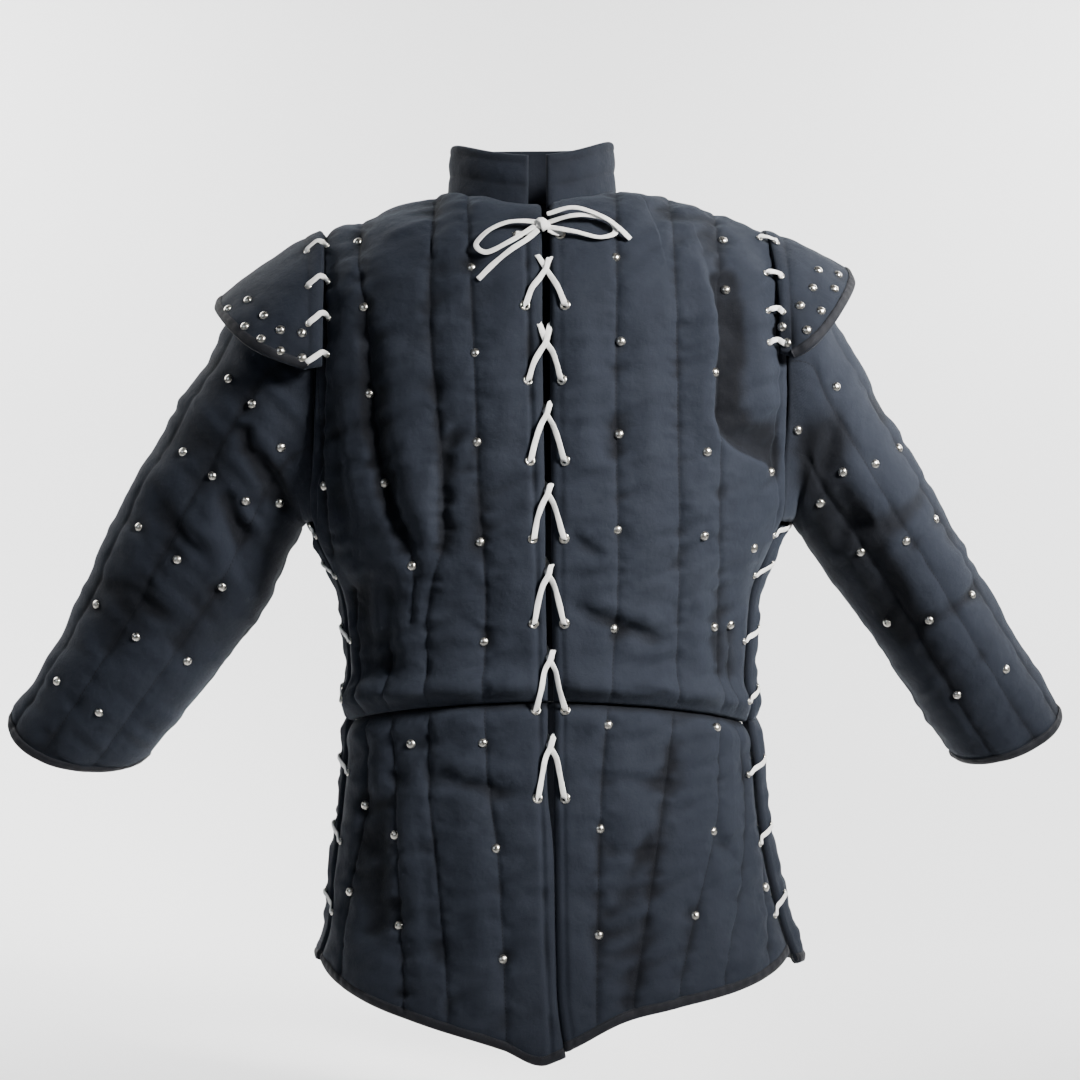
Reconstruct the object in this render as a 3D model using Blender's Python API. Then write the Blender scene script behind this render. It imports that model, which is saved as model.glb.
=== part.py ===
"""Gambeson: a padded, quilted arming coat as it hangs when worn, front laced and open at the sides.

Metres, +Z up, the front towards -Y. The origin is the middle of the neck base, between the
shoulders. "left" is the -X side. Every cut piece of padded cloth is its own body, lofted
through sections: torso sections by height, shoulder rolls up to the seam on top, sleeve
sections along the arm, wings over the shoulders.
"""

import math

import bpy
import numpy as np
from mathutils import Vector

# ---------------------------------------------------------------- sizes of cloth and trim
WALL = 0.008            # padded cloth: canvas, batting, canvas
SEAM = 0.0003           # the gap kept between pieces at a seam
BAND = 0.005            # binding showing beyond the cloth edge
BAND_PROUD = 0.0007     # binding thicker than the cloth, each face
CORD = 0.0028           # cotton lace
HOLE = 0.0064           # eyelet hole
RING = 0.0082           # eyelet ring, to the middle of its wire
RING_WIRE = 0.0016
LEFT, RIGHT = -1, 1

# ---------------------------------------------------------------- the torso, by height
TORSO_COLUMNS = ("z", "centre", "half", "front", "back", "square")
TORSO = (
    (-0.900, 0.021, 0.2700, 0.184, 0.168, 2.15),
    (-0.785, 0.0203, 0.2530, 0.174, 0.158, 2.15),
    (-0.747, 0.0195, 0.2400, 0.168, 0.152, 2.15),
    (-0.696, 0.0148, 0.2310, 0.161, 0.144, 2.18),
    (-0.631, 0.0127, 0.2220, 0.152, 0.134, 2.20),
    (-0.577, 0.0133, 0.2172, 0.145, 0.126, 2.22),
    (-0.523, 0.0110, 0.2120, 0.140, 0.120, 2.25),
    (-0.459, 0.0114, 0.2122, 0.143, 0.120, 2.28),
    (-0.396, 0.0094, 0.2205, 0.149, 0.126, 2.30),
    (-0.368, 0.0080, 0.2335, 0.152, 0.130, 2.32),
    (-0.335, 0.0088, 0.2460, 0.155, 0.134, 2.35),
    (-0.260, 0.0100, 0.2560, 0.157, 0.140, 2.40),
    (-0.200, 0.0110, 0.2590, 0.155, 0.142, 2.42),
    (-0.150, 0.0110, 0.2590, 0.150, 0.140, 2.42),
    (-0.100, 0.0110, 0.2590, 0.145, 0.136, 2.42),
)

# front edges of the two fronts, by height
OPENING_COLUMNS = ("z", "left", "right")
OPENING = (
    (-0.900, 0.0262, 0.0270),
    (-0.850, 0.0246, 0.0254),
    (-0.825, 0.0202, 0.0210),
    (-0.799, 0.0168, 0.0176),
    (-0.751, 0.0150, 0.0158),
    (-0.690, 0.0139, 0.0147),
    (-0.645, 0.0124, 0.0138),
    (-0.605, 0.0078, 0.0133),
    (-0.510, 0.0078, 0.0133),
    (-0.412, 0.0056, 0.0113),
    (-0.315, 0.0048, 0.0108),
    (-0.218, 0.0030, 0.0098),
    (-0.121, 0.0020, 0.0097),
    (-0.020, 0.0010, 0.0092),
)

# where the front and back panels end at the side, by height: below the arm the coat is open
# and laced, above it these are the two halves of the armhole
SIDE_COLUMNS = ("z", "front_left", "front_right", "back_left", "back_right")
SIDE = (
    (-0.900, -0.050, -0.068, -0.033, -0.050),
    (-0.600, -0.047, -0.064, -0.030, -0.046),
    (-0.400, -0.046, -0.062, -0.029, -0.045),
    (-0.345, -0.047, -0.060, -0.022, -0.035),
    (-0.332, -0.052, -0.062, 0.004, -0.004),
    (-0.310, -0.061, -0.068, 0.034, 0.030),
    (-0.280, -0.071, -0.074, 0.055, 0.053),
    (-0.240, -0.078, -0.079, 0.069, 0.068),
    (-0.200, -0.081, -0.081, 0.075, 0.075),
    (-0.150, -0.079, -0.079, 0.075, 0.075),
    (-0.100, -0.077, -0.077, 0.074, 0.074),
)
CHEST = -0.150          # above this height the panels roll over the shoulder
UNDERARM = -0.335
WAIST_MIDDLE, WAIST_SIDE, WAIST_BACK = -0.511, -0.537, -0.530

# hem height across each panel, from the middle (0) to the side (1)
HEM_COLUMNS = ("across", "left", "right", "back")
HEM = (
    (0.00, -0.8480, -0.8435, -0.806),
    (0.045, -0.8555, -0.8360, -0.806),
    (0.15, -0.8420, -0.8190, -0.806),
    (0.35, -0.825, -0.805, -0.804),
    (0.60, -0.808, -0.794, -0.798),
    (0.80, -0.794, -0.783, -0.791),
    (1.00, -0.780, -0.769, -0.783),
)

# neck ring and shoulder line
NECK_X, NECK_Y = -0.008, -0.005
NECK_HALF, NECK_DEEP = 0.086, 0.071
NECK_SHARE = 0.36       # share of a panel's top edge that is neckline
SHOULDER_COLUMNS = ("x", "z")
SHOULDER = {
    LEFT: ((0.070, 0.008), (0.094, 0.002), (0.146, -0.0125), (0.169, -0.021), (0.202, -0.032),
           (0.225, -0.042), (0.245, -0.055), (0.265, -0.072)),
    RIGHT: ((0.060, 0.012), (0.078, 0.006), (0.145, -0.010), (0.176, -0.021), (0.214, -0.0355),
            (0.236, -0.048), (0.249, -0.058), (0.265, -0.072)),
}
SHOULDER_TIP = {LEFT: 0.245, RIGHT: 0.249}
COLLAR_HIGH = 0.052
COLLAR_EDGE = {LEFT: -0.012, RIGHT: 0.007}

# largest folds of the fronts: a soft ridge (+) or hollow (-) along a line, front elevation
FOLD_COLUMNS = ("x0", "z0", "x1", "z1", "depth", "width")
FOLDS = (
    (0.160, -0.085, 0.180, -0.235, -0.007, 0.012),
    (0.180, -0.235, 0.232, -0.290, -0.007, 0.012),
    (0.215, -0.120, 0.225, -0.235, 0.004, 0.014),
    (-0.170, -0.110, -0.124, -0.375, -0.006, 0.013),
    (-0.073, -0.228, -0.097, -0.277, -0.006, 0.012),
    (-0.095, -0.290, -0.096, -0.365, 0.004, 0.012),
    (0.030, -0.345, 0.068, -0.372, -0.005, 0.010),
    (0.030, -0.417, 0.125, -0.451, -0.005, 0.010),
    (-0.180, -0.505, 0.190, -0.498, 0.005, 0.016),
    (-0.105, -0.575, -0.005, -0.600, -0.004, 0.010),
    (0.060, -0.640, 0.180, -0.655, -0.004, 0.012),
)

# sleeve sections: outer and inner point seen from the front, middle y, half depth
SLEEVE_COLUMNS = ("at", "out_x", "out_z", "in_x", "in_z", "mid_y", "deep")
SLEEVE = {
    LEFT: (
        (0.10, -0.289, -0.086, -0.243, -0.335, 0.000, 0.080),
        (0.19, -0.323, -0.134, -0.246, -0.337, 0.002, 0.080),
        (0.28, -0.357, -0.187, -0.250, -0.340, 0.006, 0.077),
        (0.38, -0.396, -0.250, -0.254, -0.350, 0.014, 0.073),
        (0.52, -0.442, -0.326, -0.292, -0.424, 0.028, 0.068),
        (0.66, -0.479, -0.400, -0.340, -0.487, 0.045, 0.064),
        (0.82, -0.523, -0.481, -0.400, -0.558, 0.065, 0.060),
        (1.00, -0.569, -0.543, -0.426, -0.590, 0.083, 0.058),
    ),
    RIGHT: (
        (0.10, 0.283, -0.084, 0.262, -0.332, 0.000, 0.080),
        (0.18, 0.303, -0.129, 0.264, -0.335, 0.001, 0.080),
        (0.26, 0.321, -0.158, 0.267, -0.340, 0.003, 0.079),
        (0.33, 0.339, -0.187, 0.270, -0.345, 0.006, 0.078),
        (0.43, 0.381, -0.257, 0.278, -0.356, 0.014, 0.076),
        (0.54, 0.425, -0.328, 0.309, -0.391, 0.028, 0.072),
        (0.72, 0.486, -0.430, 0.380, -0.489, 0.052, 0.067),
        (0.88, 0.533, -0.498, 0.424, -0.561, 0.070, 0.063),
        (1.00, 0.559, -0.537, 0.448, -0.590, 0.080, 0.061),
    ),
}
CUFF_LOBE = {LEFT: 0.034, RIGHT: 0.017}     # the cuff's cut runs lower on its front

# wings: the outer hem seen from the front and its y, from the front corner to the top
WING_COLUMNS = ("along", "x", "z", "y")
WING = {
    LEFT: (
        (0.00, -0.228, -0.187, -0.104),
        (0.18, -0.262, -0.175, -0.112),
        (0.40, -0.292, -0.159, -0.104),
        (0.60, -0.314, -0.139, -0.084),
        (0.80, -0.331, -0.120, -0.046),
        (1.00, -0.3375, -0.106, 0.000),
    ),
    RIGHT: (
        (0.00, 0.249, -0.176, -0.104),
        (0.18, 0.268, -0.164, -0.112),
        (0.40, 0.287, -0.145, -0.104),
        (0.60, 0.306, -0.119, -0.084),
        (0.80, 0.321, -0.094, -0.046),
        (1.00, 0.3245, -0.076, 0.000),
    ),
}
WING_INNER = 0.925      # the wing's inner edge, as a share of the way across the front
WING_RISE = 0.0030      # the wing's clearance above the body cloth

# front eyelets in front elevation, top to bottom: x of each side and one height
EYELET_COLUMNS = ("left", "right", "z")
EYELETS = (
    (-0.0218, 0.0200, -0.055),
    (-0.0146, 0.0243, -0.126),
    (-0.0116, 0.0214, -0.199),
    (-0.0097, 0.0243, -0.277),
    (-0.0070, 0.0234, -0.352),
    (-0.0062, 0.0238, -0.4345),
    (-0.0040, 0.0246, -0.5195),
    (-0.0024, 0.0246, -0.604),
)
SIDE_LACE_HEIGHTS = (-0.728, -0.658, -0.590, -0.518, -0.457, -0.390, -0.349)
SIDE_LACE_IN = 0.011    # eyelets in from the panel edges
SIDE_LACE_SLOPE = 0.014
WING_LACE_ROWS = (0.955, 0.818, 0.613, 0.336)
WING_LACE_IN = 0.0105   # eyelets in from the wing's edge and from the same line on the body

# the bow: cord runs in front elevation, x and z with the height above the cloth
BOW = {
    "bow_loop_left": ((-0.0068, -0.0455, 0.0068), (-0.0333, -0.0480, 0.0070),
                      (-0.0510, -0.0560, 0.0066), (-0.0608, -0.0668, 0.0060),
                      (-0.0520, -0.0745, 0.0062), (-0.0294, -0.0655, 0.0068),
                      (-0.0070, -0.0505, 0.0068)),
    "bow_tail_left": ((-0.0040, -0.0560, 0.0068), (-0.0265, -0.0712, 0.0066),
                      (-0.0440, -0.0850, 0.0040), (-0.0598, -0.1005, 0.0026)),
    "bow_loop_right": ((0.0130, -0.0450, 0.0068), (0.0314, -0.0410, 0.0070),
                       (0.0569, -0.0416, 0.0064), (0.0697, -0.0460, 0.0060),
                       (0.0726, -0.0540, 0.0060), (0.0589, -0.0608, 0.0062),
                       (0.0343, -0.0560, 0.0068), (0.0130, -0.0500, 0.0068)),
    "bow_tail_right": ((0.0095, -0.0385, 0.0090), (0.0314, -0.0360, 0.0112),
                       (0.0600, -0.0440, 0.0116), (0.0750, -0.0520, 0.0114),
                       (0.0880, -0.0610, 0.0060)),
}
KNOT = (0.0030, -0.0478)
KNOT_SIZE = (0.0130, 0.0076, 0.0110)

CLOTH_COLOUR = (0.018, 0.019, 0.026, 1.0)
TRIM_COLOUR = (0.010, 0.010, 0.013, 1.0)
LACE_COLOUR = (0.78, 0.77, 0.73, 1.0)
METAL_COLOUR = (0.62, 0.60, 0.56, 1.0)


# ---------------------------------------------------------------- tables and curves
def smooth(xs, ys, at):
    """A smooth curve through the rows of a table, read at any places."""
    xs, ys = np.asarray(xs, float), np.asarray(ys, float)
    at = np.clip(np.asarray(at, float), xs[0], xs[-1])
    slope = np.gradient(ys, xs)
    i = np.clip(np.searchsorted(xs, at, side="right") - 1, 0, len(xs) - 2)
    h = xs[i + 1] - xs[i]
    u = (at - xs[i]) / h
    return (
        (2 * u**3 - 3 * u**2 + 1) * ys[i]
        + (u**3 - 2 * u**2 + u) * h * slope[i]
        + (3 * u**2 - 2 * u**3) * ys[i + 1]
        + (u**3 - u**2) * h * slope[i + 1]
    )


def column(rows, names, name, at):
    """One named column of a table, read smoothly at any places of its first column."""
    table = np.asarray(rows, float)
    return smooth(table[:, 0], table[:, names.index(name)], at)


def torso(name, z):
    return column(TORSO, TORSO_COLUMNS, name, z)


def hull(theta, z):
    """The torso's outside at an angle from the front (+ towards +X) and a height."""
    n = torso("square", z)
    s, c = np.sin(theta), np.cos(theta)
    x = torso("centre", z) + torso("half", z) * np.sign(s) * np.abs(s) ** (2 / n)
    deep = np.where(c > 0, -torso("front", z), torso("back", z))
    return x, deep * np.abs(c) ** (2 / n)


def angle_at_x(x, z):
    """The front angle whose point has this x."""
    share = np.clip((x - torso("centre", z)) / torso("half", z), -0.999, 0.999)
    return np.arcsin(np.sign(share) * np.abs(share) ** (torso("square", z) / 2))


def angle_at_y(y, z):
    """The angle (0 to pi) whose point has this y."""
    n = torso("square", z)
    front = np.arccos(np.clip(np.abs(y) / torso("front", z), 0, 1) ** (n / 2))
    back = math.pi - np.arccos(np.clip(np.abs(y) / torso("back", z), 0, 1) ** (n / 2))
    return np.where(y < 0, front, back)


def side_name(side):
    return "left" if side < 0 else "right"


def panel_angle(side, back, s, z):
    """The angle of a point s across a panel: 0 at its middle or front edge, 1 at its side."""
    place = ("back_" if back else "front_") + side_name(side)
    edge = side * angle_at_y(column(SIDE, SIDE_COLUMNS, place, z), z)
    if back:
        middle = side * math.pi
    else:
        middle = angle_at_x(column(OPENING, OPENING_COLUMNS, side_name(side), z), z)
    return middle + (edge - middle) * s


def top_edge(side, back, s):
    """Neckline then shoulder seam, from the middle of the panel to the shoulder tip."""
    z_front = -0.018 if not back else 0.010
    s = np.asarray(s, float)
    open_x = 0.0 if back else float(OPENING[-1][1 if side < 0 else 2])
    start = 0.0 if back else math.asin((open_x - NECK_X) / NECK_HALF * side)
    turn = start + (math.pi / 2 - start) * np.clip(s / NECK_SHARE, 0, 1)
    neck_x = NECK_X + side * NECK_HALF * np.sin(turn)
    neck_y = NECK_Y + (1 if back else -1) * NECK_DEEP * np.cos(turn)
    corner_x = NECK_X + side * NECK_HALF
    table = np.asarray(SHOULDER[side], float)
    corner_z = smooth(table[:, 0], table[:, 1], side * corner_x)
    neck_z = z_front + (corner_z - z_front) * np.sin(turn) ** 2
    along = np.clip((s - NECK_SHARE) / (1 - NECK_SHARE), 0, 1)
    seam_x = corner_x + (side * SHOULDER_TIP[side] - corner_x) * along
    seam_z = smooth(table[:, 0], table[:, 1], side * seam_x)
    seam_y = NECK_Y + (1 if back else -1) * SEAM / 2
    on_neck = s < NECK_SHARE
    return (np.where(on_neck, neck_x, seam_x), np.where(on_neck, neck_y, seam_y),
            np.where(on_neck, neck_z, seam_z))


def waist(side, back, s):
    middle = WAIST_BACK if back else WAIST_MIDDLE
    return middle + (WAIST_SIDE - middle) * np.abs(np.asarray(s, float)) ** 1.5


def fold_push(x, z):
    """How far the folds move the cloth out at a place of the front elevation."""
    push = np.zeros(np.broadcast(x, z).shape)
    for x0, z0, x1, z1, depth, width in FOLDS:
        dx, dz = x1 - x0, z1 - z0
        u = np.clip(((x - x0) * dx + (z - z0) * dz) / (dx * dx + dz * dz), 0, 1)
        d2 = (x - x0 - u * dx) ** 2 + (z - z0 - u * dz) ** 2
        push = push + depth * np.exp(-d2 / (width * width)) * (0.35 + 0.65 * np.sin(math.pi * u))
    return push


def upper(side, back, s, v):
    """Points of an upper panel: v 0 at the waist, 1 at the chest, 2 on the top edge."""
    s, v = np.broadcast_arrays(np.asarray(s, float), np.asarray(v, float))
    low = waist(side, back, s)
    z = low + (CHEST - low) * np.minimum(v, 1)
    x, y = hull(panel_angle(side, back, s, z), z)
    x_top, y_top, z_top = top_edge(side, back, s)
    roll = np.clip(v - 1, 0, 1.05) * math.pi / 2
    y = y_top + (y - y_top) * np.cos(roll)
    x = x + (x_top - x) * (1 - np.cos(roll))
    z = z + (z_top - z) * np.sin(roll)
    return np.stack([x, y, z], -1)


def skirt(side, back, s, v):
    """Points of a skirt panel: v 0 at the waist seam, 1 at the hem."""
    s, v = np.broadcast_arrays(np.asarray(s, float), np.asarray(v, float))
    top = waist(side, back, s) - SEAM
    place = "back" if back else side_name(side)
    low = column(HEM, HEM_COLUMNS, place, s)
    z = top + (low - top) * v
    x, y = hull(panel_angle(side, back, s, z), z)
    return np.stack([x, y, z], -1)


def two_sided(points):
    """One function over -1..1 from the two halves of a back panel."""
    def joined(s, v):
        s, v = np.broadcast_arrays(np.asarray(s, float), np.asarray(v, float))
        left = points(LEFT, True, np.abs(s), v)
        right = points(RIGHT, True, np.abs(s), v)
        return np.where((s < 0)[..., None], left, right)
    return joined


def normals(points, u, v, outward, step=1e-4):
    """Unit normals of a surface function, turned to the side of the rule outward(points)."""
    du = points(u + step, v) - points(u - step, v)
    dv = points(u, v + step) - points(u, v - step)
    n = np.cross(du, dv)
    n /= np.linalg.norm(n, axis=-1, keepdims=True)
    here = points(u, v)
    side = np.sign(np.sum(n * outward(here), axis=-1, keepdims=True))
    return here, n * np.where(side == 0, 1, side)


def from_axis(p):
    """A rough outward direction of the torso: away from a line up its middle."""
    out = p - np.array([0.010, 0.0, 0.0])
    out[..., 2] = np.clip((p[..., 2] + 0.19) * 1.3, 0, None)
    return out


# ---------------------------------------------------------------- meshes
cloth_parts = []


def clear_scene():
    for ob in list(bpy.data.objects):
        bpy.data.objects.remove(ob, do_unlink=True)


def collection(name, hidden=False):
    made = bpy.data.collections.new(name)
    bpy.context.scene.collection.children.link(made)
    made.hide_render = hidden
    return made


def material(name, colour, rough, metal=0.0):
    mat = bpy.data.materials.new(name)
    mat.use_nodes = True
    shader = mat.node_tree.nodes["Principled BSDF"]
    shader.inputs["Base Color"].default_value = colour
    shader.inputs["Roughness"].default_value = rough
    shader.inputs["Metallic"].default_value = metal
    return mat


def add_mesh(name, verts, faces, mat, place=None):
    mesh = bpy.data.meshes.new(name)
    mesh.from_pydata([tuple(map(float, v)) for v in verts], [], faces)
    mesh.update()
    p = np.asarray(verts, float)
    volume = 0.0
    for face in faces:
        a = p[face[0]]
        for b, c in zip(face[1:-1], face[2:]):
            volume += float(np.dot(a, np.cross(p[b], p[c])))
    if volume < 0:
        mesh.flip_normals()
    mesh.shade_smooth()
    mesh.set_sharp_from_angle(angle=math.radians(50))
    ob = bpy.data.objects.new(name, mesh)
    ob.data.materials.append(mat)
    (place or coat).objects.link(ob)
    return ob


def shell(name, outer, inner, mat, ring=False):
    """A closed cloth wall from its outer and inner grids; ring joins the first axis up."""
    nu, nv = outer.shape[:2]
    verts = np.concatenate([outer.reshape(-1, 3), inner.reshape(-1, 3)])
    base = nu * nv
    faces = []
    at = lambda i, j, k: (i % nu) * nv + j + k * base
    for i in range(nu if ring else nu - 1):
        for j in range(nv - 1):
            faces.append((at(i, j, 0), at(i + 1, j, 0), at(i + 1, j + 1, 0), at(i, j + 1, 0)))
            faces.append((at(i, j, 1), at(i, j + 1, 1), at(i + 1, j + 1, 1), at(i + 1, j, 1)))
        faces.append((at(i, 0, 0), at(i, 0, 1), at(i + 1, 0, 1), at(i + 1, 0, 0)))
        faces.append((at(i, nv - 1, 0), at(i + 1, nv - 1, 0), at(i + 1, nv - 1, 1), at(i, nv - 1, 1)))
    if not ring:
        for j in range(nv - 1):
            faces.append((at(0, j, 0), at(0, j + 1, 0), at(0, j + 1, 1), at(0, j, 1)))
            faces.append((at(nu - 1, j, 0), at(nu - 1, j, 1), at(nu - 1, j + 1, 1), at(nu - 1, j + 1, 0)))
    ob = add_mesh(name, verts, faces, mat)
    cloth_parts.append(ob)
    return ob


def panel(name, points, u, v, mat, rise=0.0, wall=WALL, push=None):
    """A padded panel over the grid u by v of a torso surface function."""
    uu, vv = np.meshgrid(u, v, indexing="ij")
    here, n = normals(points, uu, vv, from_axis)
    seam = (vv == 2.0) & (np.abs(uu) >= NECK_SHARE)      # shoulder seam: the two walls meet square
    n[..., 1] = np.where(seam, 0.0, n[..., 1])
    n /= np.linalg.norm(n, axis=-1, keepdims=True)
    here = here + n * rise
    if push is not None:
        here = here + n * push(here, uu, vv)[..., None]
    return shell(name, here, here - n * wall, mat)


def edge_fade(uu, vv, v_low, v_high):
    """1 in the middle of a panel, 0 at its seams, so that folds die out at the edges."""
    low = np.clip((vv - v_low) / 0.06, 0, 1)
    high = np.clip((v_high - vv) / 0.25, 0, 1)
    sides = np.clip((1 - np.abs(uu)) / 0.06, 0, 1) * np.clip((uu + 0.0) / 0.08, 0, 1)
    return low * high * sides


def tube(name, points, mat, diameter=CORD, closed=False, resolution=2):
    """A round cord along a smooth run of points."""
    curve = bpy.data.curves.new(name, "CURVE")
    curve.dimensions = "3D"
    curve.bevel_depth = diameter / 2
    curve.bevel_resolution = resolution
    curve.use_fill_caps = not closed
    line = curve.splines.new("POLY")
    line.points.add(len(points) - 1)
    for p, xyz in zip(line.points, points):
        p.co = (*map(float, xyz), 1.0)
    line.use_cyclic_u = closed
    ob = bpy.data.objects.new(name, curve)
    curve.materials.append(mat)
    coat.objects.link(ob)
    return ob


def run_through(points, spacing):
    """A smooth curve through points: each point kept, and evenly spaced ones between them."""
    p = np.asarray(points, float)
    gaps = np.linalg.norm(np.diff(p, axis=0), axis=1)
    along = np.concatenate([[0], np.cumsum(gaps**0.5)])
    at = [0.0]
    for i, gap in enumerate(gaps):
        count = max(1, int(round(gap / spacing)))
        at += list(along[i] + (along[i + 1] - along[i]) * np.arange(1, count + 1) / count)
    return np.stack([smooth(along, p[:, k], at) for k in range(3)], -1)


def solve(points, guess, x, z):
    """The place on a front surface function that has this x and z in front elevation."""
    s, v = guess
    for _ in range(25):
        p = points(s, v)
        e = np.array([p[0] - x, p[2] - z])
        if np.abs(e).max() < 1e-6:
            break
        ds = (points(s + 1e-4, v) - p)[[0, 2]] / 1e-4
        dv = (points(s, v + 1e-4) - p)[[0, 2]] / 1e-4
        move = np.linalg.solve(np.stack([ds, dv], 1), e)
        s, v = s - float(np.clip(move[0], -0.2, 0.2)), v - float(np.clip(move[1], -0.3, 0.3))
    return s, v


def frame_at(points, s, v):
    """Surface point and outward normal at one place."""
    here, n = normals(points, np.array([[float(s)]]), np.array([[float(v)]]), from_axis)
    return here[0, 0], n[0, 0]


def hole_cutter(name, spots, length=0.036):
    """Cylinders through the cloth at eyelets, one object."""
    verts, faces = [], []
    for centre, n in spots:
        a = np.cross(n, [0.31, 0.11, 0.94])
        a /= np.linalg.norm(a)
        b = np.cross(n, a)
        base = len(verts)
        sides = 8
        for k in (-1, 1):
            for i in range(sides):
                t = 2 * math.pi * (i + 0.37) / sides
                verts.append(centre + n * k * length / 2 + (a * math.cos(t) + b * math.sin(t)) * HOLE / 2)
        for i in range(sides):
            j = (i + 1) % sides
            faces.append((base + i, base + j, base + sides + j, base + sides + i))
        faces.append(tuple(base + i for i in reversed(range(sides))))
        faces.append(tuple(base + sides + i for i in range(sides)))
    ob = add_mesh(name, verts, faces, cloth, cutters)
    ob.display_type = "WIRE"
    return ob


def cut(target, tool):
    mod = target.modifiers.new("eyelet_holes", "BOOLEAN")
    mod.operation = "DIFFERENCE"
    mod.solver = "EXACT"
    mod.object = tool


clear_scene()
coat = collection("gambeson")
cutters = collection("cutters", hidden=True)
cloth = material("padded_cloth", CLOTH_COLOUR, 0.85)
trim = material("binding_cloth", TRIM_COLOUR, 0.8)
lace = material("lace_cotton", LACE_COLOUR, 0.8)
nickel = material("nickel", METAL_COLOUR, 0.3, 1.0)

# ---------------------------------------------------------------- fronts, backs and skirts
upper_rows = np.concatenate([np.linspace(0, 1, 12), 1 + np.linspace(0, 1, 7)[1:]])
neck_columns = NECK_SHARE * np.linspace(0, 1, 5)
seam_columns = NECK_SHARE + (1 - NECK_SHARE) * np.linspace(0, 1, 8)
front_columns = np.concatenate([neck_columns, seam_columns[1:]])
skirt_rows = np.linspace(0, 1, 5)
band_rows = np.array([0.0, 1.0])


def front_push(here, uu, vv):
    return fold_push(here[..., 0], here[..., 2]) * edge_fade(uu, vv, 0.0, 2.0)


def skirt_push(here, uu, vv):
    return fold_push(here[..., 0], here[..., 2]) * edge_fade(uu, vv, 0.0, 1.0)


def hem_share(points, side, back, s):
    """Where a panel stops above its binding, as its own v."""
    top, low = points(side, back, s, 0.0)[..., 2], points(side, back, s, 1.0)[..., 2]
    return 1 - (BAND + SEAM) / (top - low)


bodies = {}
for side in (LEFT, RIGHT):
    name = side_name(side)
    bodies[side] = panel("fore_body_" + name, lambda s, v, side=side: upper(side, False, s, v),
                         front_columns, upper_rows, cloth, push=front_push)

    def skirt_cloth(s, v, side=side):
        return skirt(side, False, s, v * hem_share(skirt, side, False, s))

    def skirt_band(s, v, side=side):
        stop = hem_share(skirt, side, False, s) + SEAM / 0.28
        return skirt(side, False, s, stop + (1 - stop) * v)

    bodies["skirt", side] = panel("fore_skirt_" + name, skirt_cloth, front_columns,
                                  skirt_rows, cloth, push=skirt_push)
    panel("hem_binding_" + name, skirt_band, front_columns, band_rows, trim,
          rise=BAND_PROUD, wall=WALL + 2 * BAND_PROUD)

back_columns = np.concatenate([-front_columns[::-1], front_columns[1:]])
back_upper = two_sided(upper)
bodies["back"] = panel("back_body", back_upper, back_columns, upper_rows, cloth)


def back_cloth(side, back, s, v):
    return skirt(side, back, s, v * hem_share(skirt, side, back, s))


def back_band(side, back, s, v):
    stop = hem_share(skirt, side, back, s) + SEAM / 0.28
    return skirt(side, back, s, stop + (1 - stop) * v)


bodies["back_skirt"] = panel("back_skirt", two_sided(back_cloth), back_columns, skirt_rows, cloth)
panel("hem_binding_back", two_sided(back_band), back_columns, band_rows, trim,
      rise=BAND_PROUD, wall=WALL + 2 * BAND_PROUD)


# ---------------------------------------------------------------- collar
def collar_points(u, v):
    """u 0 at the left front edge, round the back, 1 at the right front edge; v up."""
    u, v = np.broadcast_arrays(np.asarray(u, float), np.asarray(v, float))
    first = math.asin((COLLAR_EDGE[LEFT] - NECK_X) / NECK_HALF)
    last = math.asin((COLLAR_EDGE[RIGHT] - NECK_X) / NECK_HALF)
    turn = first - (2 * math.pi - (last - first)) * u      # clockwise from the left edge
    x = NECK_X + NECK_HALF * np.sin(turn)
    y = NECK_Y - NECK_DEEP * np.cos(turn)
    side = np.sin(turn) ** 2
    foot = np.where(np.cos(turn) > 0, -0.018, 0.010)
    table = {k: np.asarray(SHOULDER[k], float) for k in SHOULDER}
    left_z = smooth(table[LEFT][:, 0], table[LEFT][:, 1], NECK_HALF - NECK_X)
    right_z = smooth(table[RIGHT][:, 0], table[RIGHT][:, 1], NECK_HALF + NECK_X)
    corner = np.where(x < NECK_X, left_z, right_z)
    foot = foot + (corner - foot) * side
    lean = 1 - 0.02 * v
    x = NECK_X + (x - NECK_X) * lean
    y = NECK_Y + (y - NECK_Y) * lean
    return np.stack([x, y, foot + COLLAR_FOOT + (COLLAR_HIGH - COLLAR_FOOT) * v], -1)


COLLAR_FOOT = 0.0014
uu, vv = np.meshgrid(np.linspace(0, 1, 29), np.linspace(0, 1, 3), indexing="ij")
ring = collar_points(uu, vv)
out = ring - np.array([NECK_X, NECK_Y, 0.0])
out[..., 2] = 0
out /= np.linalg.norm(out, axis=-1, keepdims=True)
# the collar stands on the neckline's edge, set back to the middle of the cloth there
shell("collar", ring, ring - out * 0.007, cloth)


# ---------------------------------------------------------------- sleeves
def armhole(side, count):
    """Points round an armhole edge from the shoulder tip down the front and up the back."""
    name = side_name(side)
    low = {}
    for back in (False, True):
        bottom = waist(side, back, 1.0)
        low[back] = (UNDERARM - bottom) / (CHEST - bottom)
    run = []
    for back, order in ((False, 1), (True, -1)):
        v = np.concatenate([np.linspace(2, 1, 60), np.linspace(1, low[back], 80)[1:]])
        edge = upper(side, back, 1.0, v)
        inside = upper(side, back, 1.0 - 1e-3, v)
        away = edge - inside
        away /= np.linalg.norm(away, axis=-1, keepdims=True)
        run.append((edge + away * 0.0016)[::order])
    line = np.concatenate([run[0], run[1], run[0][:1]])
    length = np.concatenate([[0], np.cumsum(np.linalg.norm(np.diff(line, axis=0), axis=1))])
    at = length[-1] * np.arange(count) / count
    ring = np.stack([np.interp(at, length, line[:, k]) for k in range(3)], -1)
    return ring + np.array([side * 0.0015, 0.0, 0.0])


RING_POINTS = 20


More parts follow.
